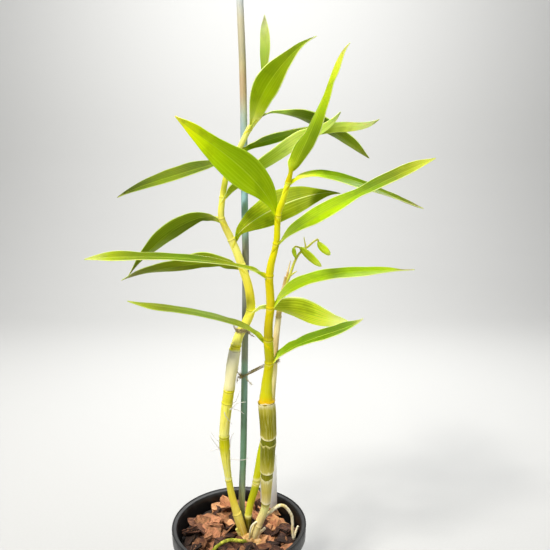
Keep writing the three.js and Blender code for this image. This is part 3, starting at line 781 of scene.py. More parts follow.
# %% [markdown]
# ## The canes
# A dendrobium's cane is a stack of short lengths with a raised ring, the node, between them. Each length
# starts slim, swells and narrows again. The routes and radii are those of the solid canes or within a few
# millimetres of them. The relief adds what those leave out: the lip of each node, a groove above it and
# faint ribs.

# %% Cane routes and nodes
LEFT_ROUTE = [
    (5, 0, 84), (2.2, 1.5, 95), (-1.9, 3.5, 108), (-7, 5, 126), (-10.5, 6, 146), (-12.8, 7, 167),
    (-13.5, 8, 183), (-11.7, 8, 204), (-9, 8, 223), (-6, 8, 245), (-2.8, 8, 263), (1, 8, 275),
    (7.5, 8, 287), (11, 8, 298), (9.2, 8, 316), (4.4, 8, 332), (-0.4, 8, 346), (-6.3, 8, 360),
    (-10.8, 8, 369), (-13.8, 8, 378), (-13, 8, 390), (-11, 8, 403), (-8, 8, 415), (-2, 8, 426), (3, 8, 436),
    (6.8, 8, 443.5), (10.4, 8, 450), (15.2, 8, 456.5), (19.4, 8, 461.5), (21.5, 8, 471),
]
LEFT_RADIUS = [
    (84, 4.2), (108, 4), (121, 3.2), (134, 3), (150, 3.2), (158, 3.9), (172, 4.9), (183, 4.4), (196, 4.6),
    (213, 5), (223, 4.8), (233, 4.6), (247, 5.2), (262, 4.9), (265, 4.5), (273, 4.1), (298, 4), (316, 3.7),
    (346, 3.5), (360, 3.3), (370, 2.9), (390, 2.6), (420, 2.4), (440, 2.3), (455, 2.5), (464, 2.1),
    (471, 1.3),
]
FRONT_ROUTE = [
    (10, -6, 86), (14, -8, 99), (18.6, -8, 110), (22.3, -9, 120), (24.2, -10, 131), (24.8, -11, 152),
    (25.6, -12, 172), (26.3, -13, 193), (25.5, -14, 213), (24.6, -14, 225), (25.4, -15, 241),
    (27.3, -16, 257), (26.6, -17, 274), (26.7, -19, 289), (28.2, -20, 304), (27.9, -21, 317),
    (27.3, -22, 328), (28.8, -23, 340), (31.7, -24, 351), (33.4, -25, 361), (33.8, -26, 371.5),
    (35, -27, 382), (37.9, -28, 390), (40.6, -29, 399), (44.4, -30, 413.5),
]
FRONT_RADIUS = [
    (86, 4), (99, 3.8), (110, 3.6), (120, 3.4), (131, 3.9), (142, 4.5), (148, 4.9), (152, 5.2), (172, 5.9),
    (178, 5.8), (184, 6.4), (193, 6.8), (213, 7.2), (222, 7.1), (224, 6.1), (231, 4.9), (245, 4.1),
    (257, 3.9), (274, 4), (289, 3.5), (328, 3.4), (340, 3), (351, 2.6), (390, 2.4), (406, 2.3),
    (413.5, 1.4),
]
OLD_ROUTE = [
    (6, 10, 84), (7.5, 10, 105), (9.8, 10, 117), (13.3, 10, 129), (15.6, 11, 139), (17.9, 11, 151),
    (20.2, 11, 164), (23.8, 12, 179), (26.9, 12, 197), (28.3, 12, 211), (29.4, 12.5, 223), (31, 13, 241),
    (31.9, 13, 258), (33.3, 13, 273), (34.9, 13, 287), (36, 13, 297), (38.1, 13, 307), (40.9, 13, 318),
    (42.1, 13, 325),
]
OLD_RADIUS = [
    (84, 3.4), (105, 3.3), (117, 3.2), (137, 3.6), (139, 4), (164, 4.3), (179, 4.3), (197, 4), (223, 3.2),
    (241, 3), (273, 2.7), (297, 2.4), (318, 2.3), (325, 2),
]
left_stem = Stem(LEFT_ROUTE, LEFT_RADIUS)
front_stem = Stem(FRONT_ROUTE, FRONT_RADIUS)
old_stem = Stem(OLD_ROUTE, OLD_RADIUS)

LEFT_NODES = [110, 141.5, 181.5, 213, 224, 261, 265.5, 297, 336, 358, 376, 394, 412, 425.5, 433.5, 450.5, 461]
FRONT_NODES = [106.5, 128, 222, 257, 277.5, 304.5, 331, 357, 379.5, 404.5]
OLD_NODES = [104.5, 136, 214, 251, 290, 314]


CANE_STEP = 0.8
NODE_TILT = 0.9
LIP_REACH = 0.7
GROOVE_REACH = 1.1
GROOVE_OFF = 1.8


def cane(name, stem, nodes, lip, columns):
    """Ribs run up a cane. Each node has a lip with a groove beside it, and is tilted a little."""
    def relief(turn, height):
        ribs = 0.05 * math.cos(9 * turn + 0.02 * height) + 0.1 * noise.noise(
            Vector((1.3 * math.cos(turn), 1.3 * math.sin(turn), height * 0.08)))
        total = ribs
        for node in nodes:
            off = height - node - NODE_TILT * math.cos(turn)
            total += lip * math.exp(-(off / LIP_REACH) ** 2)
            total -= 0.5 * lip * math.exp(-((off - GROOVE_OFF) / GROOVE_REACH) ** 2)
        return total

    def off_node(turn, height):
        level = height - NODE_TILT * math.cos(turn)
        return min([level - node for node in nodes], key=abs)

    return stem_tube(name, stem, CANE_STEP, columns, relief, off_node)


left_cane = cane("left_cane", left_stem, LEFT_NODES, 0.38, 28)
front_cane = cane("front_cane", front_stem, FRONT_NODES, 0.42, 32)
old_cane = cane("old_cane", old_stem, OLD_NODES, 0.35, 24)

# %% [markdown]
# Young cane is smooth and yellow-green. Where its sheath has dried it turns to thin pale paper with fibres
# along it. The bands follow the height, a noise makes their edges uneven, and the fibres come from a noise
# that is sampled round a circle, so no seam shows where the sheet was joined.

# %% Cane finish


def round_spot(finish, around, along):
    """A place on a tube that meets itself at the seam: around sets the fineness, and along its stretch."""
    across, _ = finish.across_and_along()
    height = finish.axis(finish.spot(), "Z")
    turn = across * (2 * math.pi)
    return finish.vector(
        turn.sum_of("COSINE", turn) * around, turn.sum_of("SINE", turn) * around, height * along), height


def cane_finish(name, stops, paper, roughness=0.46, fibre=0.6):
    """stops are colours by height, and paper is how papery the cane is at each height."""
    finish = Finish(name)
    fine, height = round_spot(finish, 5.5, 0.07)
    wide, _ = round_spot(finish, 1.6, 0.16)
    fibres = finish.clouds(fine, 1, 5, 0.6)
    patches = finish.clouds(wide, 1, 3)
    specks = finish.rise(finish.clouds(finish.spot(), 0.9, 2), 0.7, 0.78)
    wobble = height + patches * 3 - 1.5
    papery = finish.shares(wobble, paper)
    pale = finish.rise(fibres, 0.5, 0.66)
    deep = finish.rise(fibres, 0.48, 0.34)
    off = finish.node("ShaderNodeAttribute", {"attribute_name": "off_node"}, output="Fac")
    line = finish.rise(abs(off + patches * 0.4 - 0.2), 0.6, 0.2)
    rim = finish.rise(abs(off + 1.1), 0.9, 0.3)
    colour = finish.layered(
        finish.bands(wobble, stops),
        (pale * (papery * 0.5 + 0.05), paint(248, 242, 190)),
        (deep * (papery * 0.4 + 0.12), paint(128, 124, 10)),
        (specks * 0.35, paint(108, 96, 20)),
        (rim * 0.3, paint(250, 240, 120)),
        (line * 0.38, paint(120, 100, 10)))
    dryness = papery * 0.3 + roughness - pale * 0.05
    return finish.surface(colour, dryness, fibres * fibre + patches * 0.4, 0.25, Specular_IOR_Level=0.15)


LEFT_BANDS = [
    (84, 166, 148, 28), (98, 198, 170, 72), (110, 246, 226, 100), (125, 244, 220, 66), (138, 234, 226, 60),
    (141.4, 236, 226, 74), (142.8, 254, 252, 180), (145, 240, 235, 100), (163, 242, 235, 92),
    (172, 208, 204, 4), (181.4, 186, 184, 2), (183, 254, 250, 136), (195, 250, 240, 106),
    (211, 252, 248, 94), (214, 230, 222, 54), (224.6, 236, 228, 44), (226.2, 254, 250, 186),
    (246, 255, 252, 196), (260.2, 255, 254, 226), (261.6, 252, 246, 34), (265, 250, 244, 6),
    # Around 300 and 352 mm the bands are painted paler: painted light that offsets the shadows of the leaves.
    (266.6, 254, 250, 124), (285, 248, 240, 86), (300, 254, 248, 60), (312, 242, 226, 50),
    (352, 254, 248, 124), (372, 206, 192, 66), (377, 232, 224, 94), (392, 254, 250, 96),
    (415, 228, 226, 50), (440, 247, 240, 130), (471, 250, 250, 150),
]
LEFT_PAPER = [
    (84, 0.4), (141, 0.2), (143, 0.9), (165, 0.9), (172, 0.2), (182.6, 0.05), (184, 1), (210, 0.7),
    (214, 0.1), (224, 0.1), (226, 0.8), (260, 0.8), (261.6, 0.05), (265, 0.05), (267, 0.5), (285, 0.3),
    (300, 0.1), (471, 0.1),
]
FRONT_BANDS = [
    (86, 160, 134, 80), (99, 250, 230, 156), (112, 254, 226, 146), (124, 254, 252, 160),
    (128, 156, 144, 28), (131, 214, 210, 96), (148, 186, 174, 40), (152, 134, 132, 1), (160, 128, 124, 1),
    (164, 154, 150, 20), (180, 134, 140, 1), (184, 114, 120, 1), (193, 134, 132, 2), (200, 160, 158, 2),
    # The dark band at 221.6 mm is a painted shadow under the node ring at 222 mm.
    (218, 216, 202, 54), (221.6, 150, 132, 6), (223.2, 240, 190, 4), (225, 226, 200, 2),
    (228.6, 214, 208, 10), (236, 214, 212, 14), (256, 208, 200, 2), (259, 182, 176, 1), (274, 198, 200, 1),
    (279, 184, 170, 2), (303, 228, 208, 1), (330, 226, 210, 1), (345, 235, 224, 1), (362, 229, 222, 2),
    (388, 230, 228, 2), (404, 240, 248, 44), (413.5, 242, 250, 60),
]
FRONT_PAPER = [(86, 0.6), (128, 0.7), (149, 0.6), (152, 0), (188, 0.1), (222, 0), (413.5, 0.05)]
OLD_BANDS = [
    (84, 114, 110, 26), (99, 98, 92, 2), (102, 128, 118, 28), (104, 240, 236, 150), (106.5, 228, 226, 74),
    (114, 216, 217, 40), (132.5, 176, 182, 1), (134.5, 204, 196, 56), (136, 244, 236, 150),
    (137.5, 196, 192, 40), (139.5, 248, 240, 150), (142, 206, 208, 6), (168, 200, 208, 2),
    (184, 174, 180, 6), (187, 204, 190, 52), (212, 224, 218, 156), (215, 194, 182, 90),
    (219, 218, 204, 132), (249, 248, 234, 164), (252, 200, 160, 84), (288, 250, 236, 180),
    (291, 214, 188, 110), (312, 208, 178, 120), (325, 170, 136, 70),
]
OLD_PAPER = [(84, 0.1), (135, 0.05), (184, 0.1), (188, 1), (325, 1)]
dress(left_cane, "cane", ["left_cane"], cane_finish("left_cane", LEFT_BANDS, LEFT_PAPER))
dress(front_cane, "cane", ["front_cane"], cane_finish("front_cane", FRONT_BANDS, FRONT_PAPER, 0.4))
dress(old_cane, "dry_cane", ["old_cane"], cane_finish("old_cane", OLD_BANDS, OLD_PAPER, 0.5, 0.9))

# %% [markdown]
# ## The papery sheaths
# At each node an old leaf sheath wraps the length of cane above it. Dry, it is a thin translucent skin: olive
# where the cane shows through, white along its fibres and edges. It is a sheet rolled round the cane, with a
# foot that dips at the front and a torn upper edge, and a Solidify modifier gives it its thickness.

# %% Sheath shells
SHELL_COLUMNS = 48
SHELL_ROWS = 10
SHELL_THICKNESS = 0.3


def sheath_shell(name, stem, foot, rim, lift, foot_dip, rim_dip, torn, seed):
    """A shell from the height foot to the height rim, lift millimetres off the cane."""
    piece = sheet(name, SHELL_COLUMNS, SHELL_ROWS)

    def place(across, row):
        turn = 2 * math.pi * across
        share = row / SHELL_ROWS
        ragged = torn * noise.noise(Vector((2.2 * math.cos(turn), 2.2 * math.sin(turn), seed)))
        low = foot + foot_dip * math.cos(turn)
        high = rim + rim_dip * math.cos(turn) + ragged
        height = mixed(low, high, share)
        centre, ahead = stem.place(height), stem.direction(height)
        side = Vector((0, 1, 0))
        side = (side - ahead * side.dot(ahead)).normalized()
        up = ahead.cross(side)
        wrinkle = 0.1 * noise.noise(Vector((4 * math.cos(turn), 4 * math.sin(turn), height * 0.05 + seed)))
        radius = stem.radius(height) + lift * (0.5 + 0.5 * share) + wrinkle + 0.25 * math.exp(-share * 14)
        return centre + (side * math.cos(turn) + up * math.sin(turn)) * radius

    bend_sheet(piece, SHELL_COLUMNS, SHELL_ROWS, place)
    weld(piece)
    apply_modifier(piece, "SOLIDIFY", thickness=SHELL_THICKNESS * MM, offset=-1)
    bpy.ops.object.shade_smooth_by_angle(angle=math.radians(50))
    return piece


def paper_finish(name, stops, fibre):
    """Thin dry skin. stops are its colours from its foot to its upper edge."""
    finish = Finish(name)
    fine, _ = round_spot(finish, 13, 0.05)
    wide, _ = round_spot(finish, 2.4, 0.1)
    _, along = finish.across_and_along()
    fibres = finish.clouds(fine, 1, 5, 0.62)
    patches = finish.clouds(wide, 1, 3)
    colour = finish.layered(
        finish.bands(along + (patches - 0.5) * 0.22, stops),
        (finish.rise(fibres, 0.5, 0.66) * fibre, paint(238, 230, 150)),
        (finish.rise(fibres, 0.47, 0.34) * fibre, paint(112, 108, 4)))
    return finish.surface(colour, 0.6, fibres * 0.7 + patches * 0.3, 0.2,
                          Specular_IOR_Level=0.15, Sheen_Weight=0.2, Sheen_Roughness=0.3)


# foot, upper edge, lift, dip of the foot, dip of the edge, how torn it is, and the colours
FRONT_SHEATHS = [
    (129.5, 153.3, 0.2, 1.0, 1.3, 1.6, [
        (0, 252, 240, 200), (0.12, 232, 214, 140), (0.5, 206, 188, 84), (0.85, 214, 200, 110),
        (1, 244, 236, 180)]),
    (159.4, 185.7, 0.3, 1.9, 1.4, 1.6, [
        (0, 248, 240, 180), (0.08, 196, 184, 74), (0.35, 160, 152, 20), (0.6, 124, 124, 3),
        (0.92, 120, 120, 3), (1, 230, 222, 130)]),
    (192.6, 219.6, 0.3, 3.1, -2.8, 0.8, [
        (0, 250, 240, 180), (0.07, 170, 160, 40), (0.3, 142, 136, 4), (0.65, 146, 140, 6),
        (0.85, 186, 176, 60), (1, 248, 240, 196)]),
]
for i, (foot, rim, lift, foot_dip, rim_dip, torn, stops) in enumerate(FRONT_SHEATHS, 1):
    shell = sheath_shell(f"front_sheath_{i}", front_stem, foot, rim, lift, foot_dip, rim_dip, torn, 3.1 * i)
    dress(shell, "cane", ["front_cane"], paper_finish(f"front_sheath_{i}", stops, 0.45))

left_shell = sheath_shell("left_sheath", left_stem, 226, 260.4, 0.25, 0.5, 0.3, 0.8, 1.7)
dress(left_shell, "cane", ["left_cane"], paper_finish("white_paper", [
    (0, 240, 230, 150), (0.12, 250, 242, 184), (0.6, 254, 248, 196), (1, 254, 250, 220)], 0.15))

# %% [markdown]
# ## The leaves
# Eighteen thin leaves, each folded along its midrib and each with its own bow and twist. A leaf starts as a
# sheath that is wrapped round the cane, opens on the side away from its blade, and runs on into it. The
# blade is a sheet laid along a line that rises or droops, turned about its midrib as it goes. Solidify then
# gives it an underside with a material of its own, and a Subdivision Surface makes the fold soft.

# %% How a leaf runs
# height is where on its cane a leaf stands, heading is which way it runs and sway how much that turns.
# It starts out at the angle rise and droops by droop in all, most of it early if bend is small. flick turns
# its tip up. roll turns it about its midrib at the foot and twist adds to that on the way. fold is the
# angle of its halves. near and far are how much wider or narrower than usual each half is along the leaf.
Leaf = namedtuple("Leaf", "height heading sway rise droop bend flick length width roll twist fold near far")
EVEN = [(0, 1)]

LEFT_LEAVES = [
    Leaf(297, -18, 20, 21, 48, 0.54, 31, 84, 24, 20, 79, 18,
         [(0, 2.2), (0.06, 1.8), (0.12, 0.9), (0.3, 0.9), (0.5, 1), (0.7, 1.1), (1, 1)],
         [(0, 2.2), (0.06, 1.8), (0.12, 1.05), (0.3, 1.08), (0.5, 1.06), (0.7, 0.9), (0.85, 0.86),
          (0.95, 1.5), (1, 1.2)]),
    Leaf(336, 178, -2, 77, 92, 0.1, -7, 105, 20.5, -114, 113, 16,
         [(0, 1.5), (0.15, 1.25), (0.3, 1.05), (0.5, 0.57), (0.7, 0.8), (0.85, 1.45), (0.95, 1.7), (1, 1)],
         [(0, 2.4), (0.05, 2.4), (0.15, 0.65), (0.3, 0.45), (0.5, 0.65), (0.7, 0.85), (1, 0.95)]),
    Leaf(358, -3, -4, 97.5, 85, 0.2, -22.5, 101, 26, 80, 51, 7,
         [(0, 1.2), (0.05, 0.7), (0.15, 0.95), (0.5, 0.97), (0.7, 1.07), (0.85, 0.95), (1, 0.7)],
         [(0, 1.6), (0.05, 1.4), (0.15, 1.15), (0.3, 1), (0.5, 1.17), (0.7, 1.17), (0.85, 0.85), (1, 0.6)]),
    Leaf(376, 184, -7, 94.5, 149, 0.18, 1.7, 98, 19, -91, 87, 16,
         [(0, 2), (0.05, 0.8), (0.15, 1), (0.3, 0.85), (0.5, 0.87), (0.7, 0.95), (1, 0.95)],
         [(0, 2.4), (0.05, 2), (0.15, 0.7), (0.3, 0.85), (0.5, 1.05), (0.7, 1.4), (0.85, 1), (1, 1)]),
    Leaf(394, -9, -4, 37, 37.5, 2.65, 57, 118, 20, 14, 25, 17,
         [(0, 1.2), (0.05, 1), (0.15, 0.75), (0.3, 0.55), (0.5, 0.85), (0.7, 0.6), (0.85, 1.35),
          (0.95, 1.8), (1, 1)],
         [(0, 3), (0.05, 3.2), (0.15, 1.4), (0.3, 1), (0.5, 0.97), (0.7, 1.3), (0.85, 0.9), (1, 1.2)]),
    Leaf(425.5, 182, 0, -10, 7, 0.1, -13, 102, 18, 35, 11, 14,
         EVEN,
         [(0.2, 1.2), (0.35, 1.15), (0.5, 1)]),
    Leaf(433.5, 9, 1, 19.5, 43.8, 1.98, 57, 125, 21, -142, -14, 14,
         [(0, 1), (0.05, 1), (0.15, 1.8), (0.3, 0.8), (0.5, 0.65), (0.7, 1.4), (0.85, 1.5), (0.95, 2.4),
          (1, 1.5)],
         [(0.05, 1.2), (0.15, 0.9), (0.3, 0.5), (0.5, 0.65), (0.7, 0.62), (0.85, 1.2), (0.95, 2),
          (1, 1.5)]),
    Leaf(461, 25, 0, 96, 129, 0.16, -1.4, 117, 20, 11, 7, 16,
         [(0.05, 0.9), (0.15, 0.85), (0.3, 0.7), (0.5, 1.2), (0.7, 1.2), (0.85, 1.45), (0.95, 2), (1, 1.5)],
         [(0.05, 1.1), (0.15, 0.75), (0.3, 1.04), (0.5, 1), (0.7, 0.95), (0.85, 1.2), (1, 1.2)]),
    Leaf(450.5, -60, 40, 83, 48, 0.27, -17, 92, 23, -155, 125, 14,
         [(0, 0.8), (0.25, 0.9), (0.4, 1), (0.55, 0.93), (0.65, 0.82), (0.75, 0.78), (0.85, 0.9), (1, 1)],
         [(0, 0.6), (0.06, 0.6), (0.1, 0.95), (0.15, 1.3), (0.25, 1), (0.35, 0.97), (0.5, 1.2),
          (0.65, 1.35), (0.75, 1.6), (0.85, 1.5), (1, 1)]),
    Leaf(469, 0, 0, 81, -19, 0.96, -11, 72, 13, 9, -80, 17,
         [(0.5, 1), (0.75, 1.05), (0.9, 1.4), (1, 1)],
         [(0.4, 1), (0.55, 1.3), (0.85, 1.4), (0.93, 1.6), (1, 1)]),
]
FRONT_LEAVES = [
    Leaf(257, -5, -2, 94, 83, 0.18, 32, 84, 16, -23, -4, 19,
         [(0, 3.2), (0.05, 3), (0.15, 1.55), (0.3, 0.85), (0.5, 0.8), (0.7, 0.92), (0.85, 1.5), (0.95, 1.7),
          (1, 1)],
         [(0, 1.6), (0.05, 1), (0.15, 0.8), (0.3, 0.6), (0.5, 1.05), (0.7, 1.57), (0.85, 1.2), (1, 1)]),
    Leaf(275, 184, 13, 80.5, 76.5, 0.21, 12.5, 117, 20, -164, -7, 4,
         [(0, 2), (0.05, 2.1), (0.15, 2), (0.3, 0.82), (0.5, 0.7), (0.7, 0.93), (0.85, 1.57), (1, 1.4)],
         [(0, 1.2), (0.05, 0.8), (0.15, 0.4), (0.3, 0.48), (0.5, 0.58), (0.7, 1), (0.85, 1.83), (0.95, 2),
          (1, 1.4)]),
    Leaf(304.5, -6, -2, 97.5, 107, 0.29, 15.5, 121, 15.5, -45, 24, 17,
         [(0, 2), (0.05, 1.7), (0.15, 1.7), (0.3, 1), (0.5, 0.65), (0.7, 0.62), (0.85, 1), (0.9, 0.7),
          (0.93, 0.3), (1, 1)],
         [(0, 1.8), (0.05, 1.5), (0.15, 1.07), (0.3, 0.75), (0.5, 1.15), (0.7, 2.1), (0.85, 1), (0.9, 0.6),
          (0.93, 0.3), (1, 1)]),
    Leaf(331, 178, 0, 66.5, 70, 0.14, -1.4, 150, 21, 21, 9, 15,
         [(0, 2), (0.05, 1.4), (0.12, 0.5), (0.19, 0.3), (0.3, 0.6), (0.5, 0.5), (0.7, 0.8), (0.85, 1.55),
          (1, 1.5)],
         [(0, 2.6), (0.05, 2), (0.12, 0.7), (0.19, 0.38), (0.3, 0.52), (0.5, 0.5), (0.7, 0.7), (0.85, 1.6),
          (0.95, 2.5), (1, 1.5)]),
    Leaf(357, -11, 0, 66, 43, 0.15, 1, 135, 16.5, -56, 14, 17,
         [(0, 2), (0.1, 2.2), (0.2, 1.4), (0.35, 1), (0.45, 0.8), (0.55, 0.6), (0.65, 0.9), (0.75, 1.15),
          (0.85, 1.8), (0.93, 2.4), (1, 1.4)],
         [(0.05, 0.6), (0.15, 0.95), (0.25, 1.2), (0.35, 1.15), (0.45, 0.88), (0.55, 0.5), (0.65, 0.9),
          (0.75, 1.2), (0.85, 1.7), (0.93, 2), (1, 1.4)]),
    Leaf(379.5, 180, 0, 95, 68, 0.29, 14, 110, 26, 80, 60, 11,
         [(0.2, 1), (0.3, 1.1), (0.6, 1.1), (1, 1)],
         [(0.05, 1.5), (0.15, 1.43), (0.25, 1.17), (0.45, 1.03), (0.55, 0.82), (0.65, 0.76), (0.75, 0.9),
          (0.85, 1.35), (0.93, 1.8), (1, 1.2)]),
    Leaf(405, 14, -2, 100.6, 134, 0.18, 22, 120, 20.5, -52, 35, 14,
         [(0.05, 1), (0.15, 0.8), (0.3, 0.52), (0.5, 0.4), (0.7, 0.57), (0.85, 1.3), (0.95, 3), (1, 2)],
         [(0.05, 1), (0.15, 0.5), (0.3, 0.95), (0.5, 1.85), (0.7, 2), (0.85, 1.8), (1, 1.6)]),
    Leaf(412, -10, 2, 64, -33, 2.3, -61, 104, 21, 98, 78, 24,
         [(0, 1.6), (0.05, 1.2), (0.15, 0.95), (0.3, 0.7), (0.5, 0.55), (0.7, 0.6), (0.85, 1.5),
          (0.95, 2.4), (1, 1.5)],
         [(0, 3), (0.05, 3.4), (0.15, 2.25), (0.3, 0.82), (0.5, 0.67), (0.7, 0.8), (0.85, 0.6), (1, 0.55)]),
]
LEAF_OUTLINE = [
    (0, 0.2), (0.06, 0.22), (0.15, 0.46), (0.27, 0.82), (0.4, 1), (0.55, 0.97), (0.7, 0.76), (0.83, 0.47),
    (0.93, 0.19), (1, 0.03),
]
LEAF_COLUMNS = 12
LEAF_ROWS = 50
SHEATH_ROWS = 6
LEAF_STEPS = 24
LEAF_THICKNESS = 0.62
CREASE = 0.12
NARROWEST = 0.25
SHEATH_HEIGHT = 5.5
SHEATH_SLANT = 9
LAST_SHEATH_HEIGHT = 14
LAST_SHEATH_SLANT = 2.5
SHEATH_CLOSED = 184
SHEATH_MOUTH = 150
SHEATH_SPREAD = 40

leaf_outline = [(point.x, point.y) for point in smooth_line([(s, share, 0) for s, share in LEAF_OUTLINE], 8)]


def leaf_turn(leaf, s, roll_share=1.0):
    """Which way a leaf runs, the direction across it and the normal of its upper face."""
    up = math.radians(leaf.rise - leaf.droop * s ** leaf.bend + leaf.flick * s ** 6)
    round_z = math.radians(leaf.heading + leaf.sway * s)
    turn = math.radians(leaf.roll + leaf.twist * s) * roll_share
    ahead = Vector((math.cos(up) * math.cos(round_z), math.cos(up) * math.sin(round_z), math.sin(up)))
    level = Vector((math.sin(round_z), -math.cos(round_z), 0))
    upright = level.cross(ahead)
    across = level * math.cos(turn) + upright * math.sin(turn)
    return ahead, across, across.cross(ahead)


def leaf_line(stem, leaf):
    heading = math.radians(leaf.heading)
    out = Vector((math.cos(heading), math.sin(heading), 0)) * (stem.radius(leaf.height) - 0.4)
    line = [stem.place(min(leaf.height, stem.top)) + out]
    for i in range(LEAF_STEPS):
        ahead = leaf_turn(leaf, (i + 0.5) / LEAF_STEPS)[0]
        line.append(line[-1] + ahead * leaf.length / LEAF_STEPS)
    return smooth_line(line, 4)


def leaf_blade(name, stem, leaf, seed):
    line = leaf_line(stem, leaf)
    piece = sheet(name, LEAF_COLUMNS, LEAF_ROWS)
    lift = math.tan(math.radians(leaf.fold))
    last = leaf.height > stem.top - 3
    sheath = LAST_SHEATH_HEIGHT if last else SHEATH_HEIGHT
    slant = LAST_SHEATH_SLANT if last else SHEATH_SLANT

    def hug(t, rise_up, angle):
        """A point of the sheath: t is -1 and 1 at its edges, and angle is how far round the cane they are."""
        level = leaf.height + rise_up - slant * abs(t) ** 1.5
        centre = stem.place(min(level, stem.top - 0.5)) + Vector((0, 0, max(0, level - stem.top + 0.5)))
        turn = math.radians(leaf.heading - t * angle)
        radius = stem.radius(min(level, stem.top)) - 0.3 - 0.7 * ease(-rise_up, 0.3 * sheath, sheath)
        return centre + Vector((math.cos(turn), math.sin(turn), 0)) * radius

    def place(across_share, row):
        t = 2 * across_share - 1
        if row < SHEATH_ROWS:
            down = 1 - row / SHEATH_ROWS
            return hug(t, -down * sheath, mixed(SHEATH_MOUTH, SHEATH_CLOSED, down ** 0.5))
        s = ((row - SHEATH_ROWS) / (LEAF_ROWS - SHEATH_ROWS)) ** 1.2
        _, across, face = leaf_turn(leaf, s, ease(s, -0.05, 0.1))
        at = s * (len(line) - 1)
        low = min(int(at), len(line) - 2)
        centre = line[low].lerp(line[low + 1], at - low)
        half = max(leaf.width / 2 * value_at(leaf_outline, s), NARROWEST)
        half *= value_at(leaf.near if t < 0 else leaf.far, s)
        fold = (math.sqrt(t * t + CREASE ** 2) - CREASE) / (math.sqrt(1 + CREASE ** 2) - CREASE)
        wave = 0.5 * t * t * noise.noise(Vector((s * 8, 2 * (t > 0), seed))) * min(half / 6, 1)
        blade = centre + across * (t * half) + face * (fold * half * lift + wave)
        wrap = hug(t, min(s * leaf.length, 3), mixed(SHEATH_MOUTH, SHEATH_SPREAD, ease(s, 0, 0.05)))
        return wrap.lerp(blade, ease(s, 0, 0.07))

    bend_sheet(piece, LEAF_COLUMNS, LEAF_ROWS, place)
    apply_modifier(piece, "SOLIDIFY", thickness=LEAF_THICKNESS * MM, offset=-1, material_offset=1)
    apply_modifier(piece, "SUBSURF", levels=1, render_levels=1)
    bpy.ops.object.shade_smooth()
    return piece


# %% [markdown]
# Veins run the length of a leaf and close up towards its tip, which is just what the sheet's UV map does.
# So waves across U are the veins, a noise that is long in V makes the streaks between them, and a thin line
# in the middle is the midrib. Each leaf has colours from its base to its tip and along its margins: partly
# its own, partly painted light and shade.

# %% Leaf finish
FIRST_BLADE_V = SHEATH_ROWS / LEAF_ROWS
SOFT_FLESH = {"Subsurface_Scale": 0.0014, "Subsurface_Radius": (0.7, 1.0, 0.15)}
RIB_BAND = (0.024, 0.006)
EDGE_BAND = (0.443, 0.484)


def leaf_finish(name, stops, edge, rib, veins, seed, gloss, painted_glow):
    """stops are colours along the blade, edge and rib are (colour, strength), and the last is a painted glow.
    """
    finish = Finish(name)
    across, v = finish.across_and_along()
    along = ((v - FIRST_BLADE_V) * (1 / (1 - FIRST_BLADE_V))).at_least(0) ** 1.2
    streaks = finish.clouds(finish.vector(across * 26, along * 1.3, seed), 1, 4, 0.6)
    fine = finish.clouds(finish.vector(across * 90, along * 3, seed), 1, 2)
    clouds = finish.clouds(finish.spot(), 0.07, 3)
    ridges = (across * 11 + (streaks - 0.5) * 1.6).wave()
    off_rib = abs(across - 0.5)
    uneven = along + (streaks - 0.5) * 0.1 * finish.rise(along, 0.02, 0.15)
    deep = finish.rise(streaks * 0.6 + ridges * 0.25 + fine * 0.15, 0.62, 0.36)
    light = finish.rise(streaks * 0.55 + ridges * 0.3 + fine * 0.15, 0.5, 0.72)
    colour = finish.layered(
        finish.bands(uneven, stops),
        (deep * veins * 0.3, paint(72, 96, 4)),
        (light * veins * 0.2, paint(214, 230, 90)),
        (finish.rise(clouds, 0.52, 0.68) * 0.25, paint(92, 122, 6)),
        (finish.rise(off_rib, *RIB_BAND) * rib[1], rib[0]),
        (finish.rise(off_rib, *EDGE_BAND) * edge[1], edge[0]))
    groove = finish.rise(off_rib, 0.004, 0.04)
    height = ridges * 0.35 + streaks * 0.3 + groove * 0.5
    # Emission in the leaf's own colour is a painted glow, in place of light shining through it from behind.
    return finish.surface(colour, streaks * 0.12 + gloss, height, 0.12, Specular_IOR_Level=0.05,
                          Emission_Color=colour, Emission_Strength=painted_glow,
                          Subsurface_Weight=0.5, **SOFT_FLESH)


LIGHT_EDGE = (paint(214, 228, 120), 0.5)
PALE_EDGE = (paint(226, 236, 150), 0.85)
FAINT_EDGE = (paint(180, 200, 70), 0.4)
PALE_RIB = (paint(206, 222, 96), 0.6)
CLEAR_RIB = (paint(232, 238, 150), 0.9)
FAINT_RIB = (paint(170, 190, 50), 0.5)

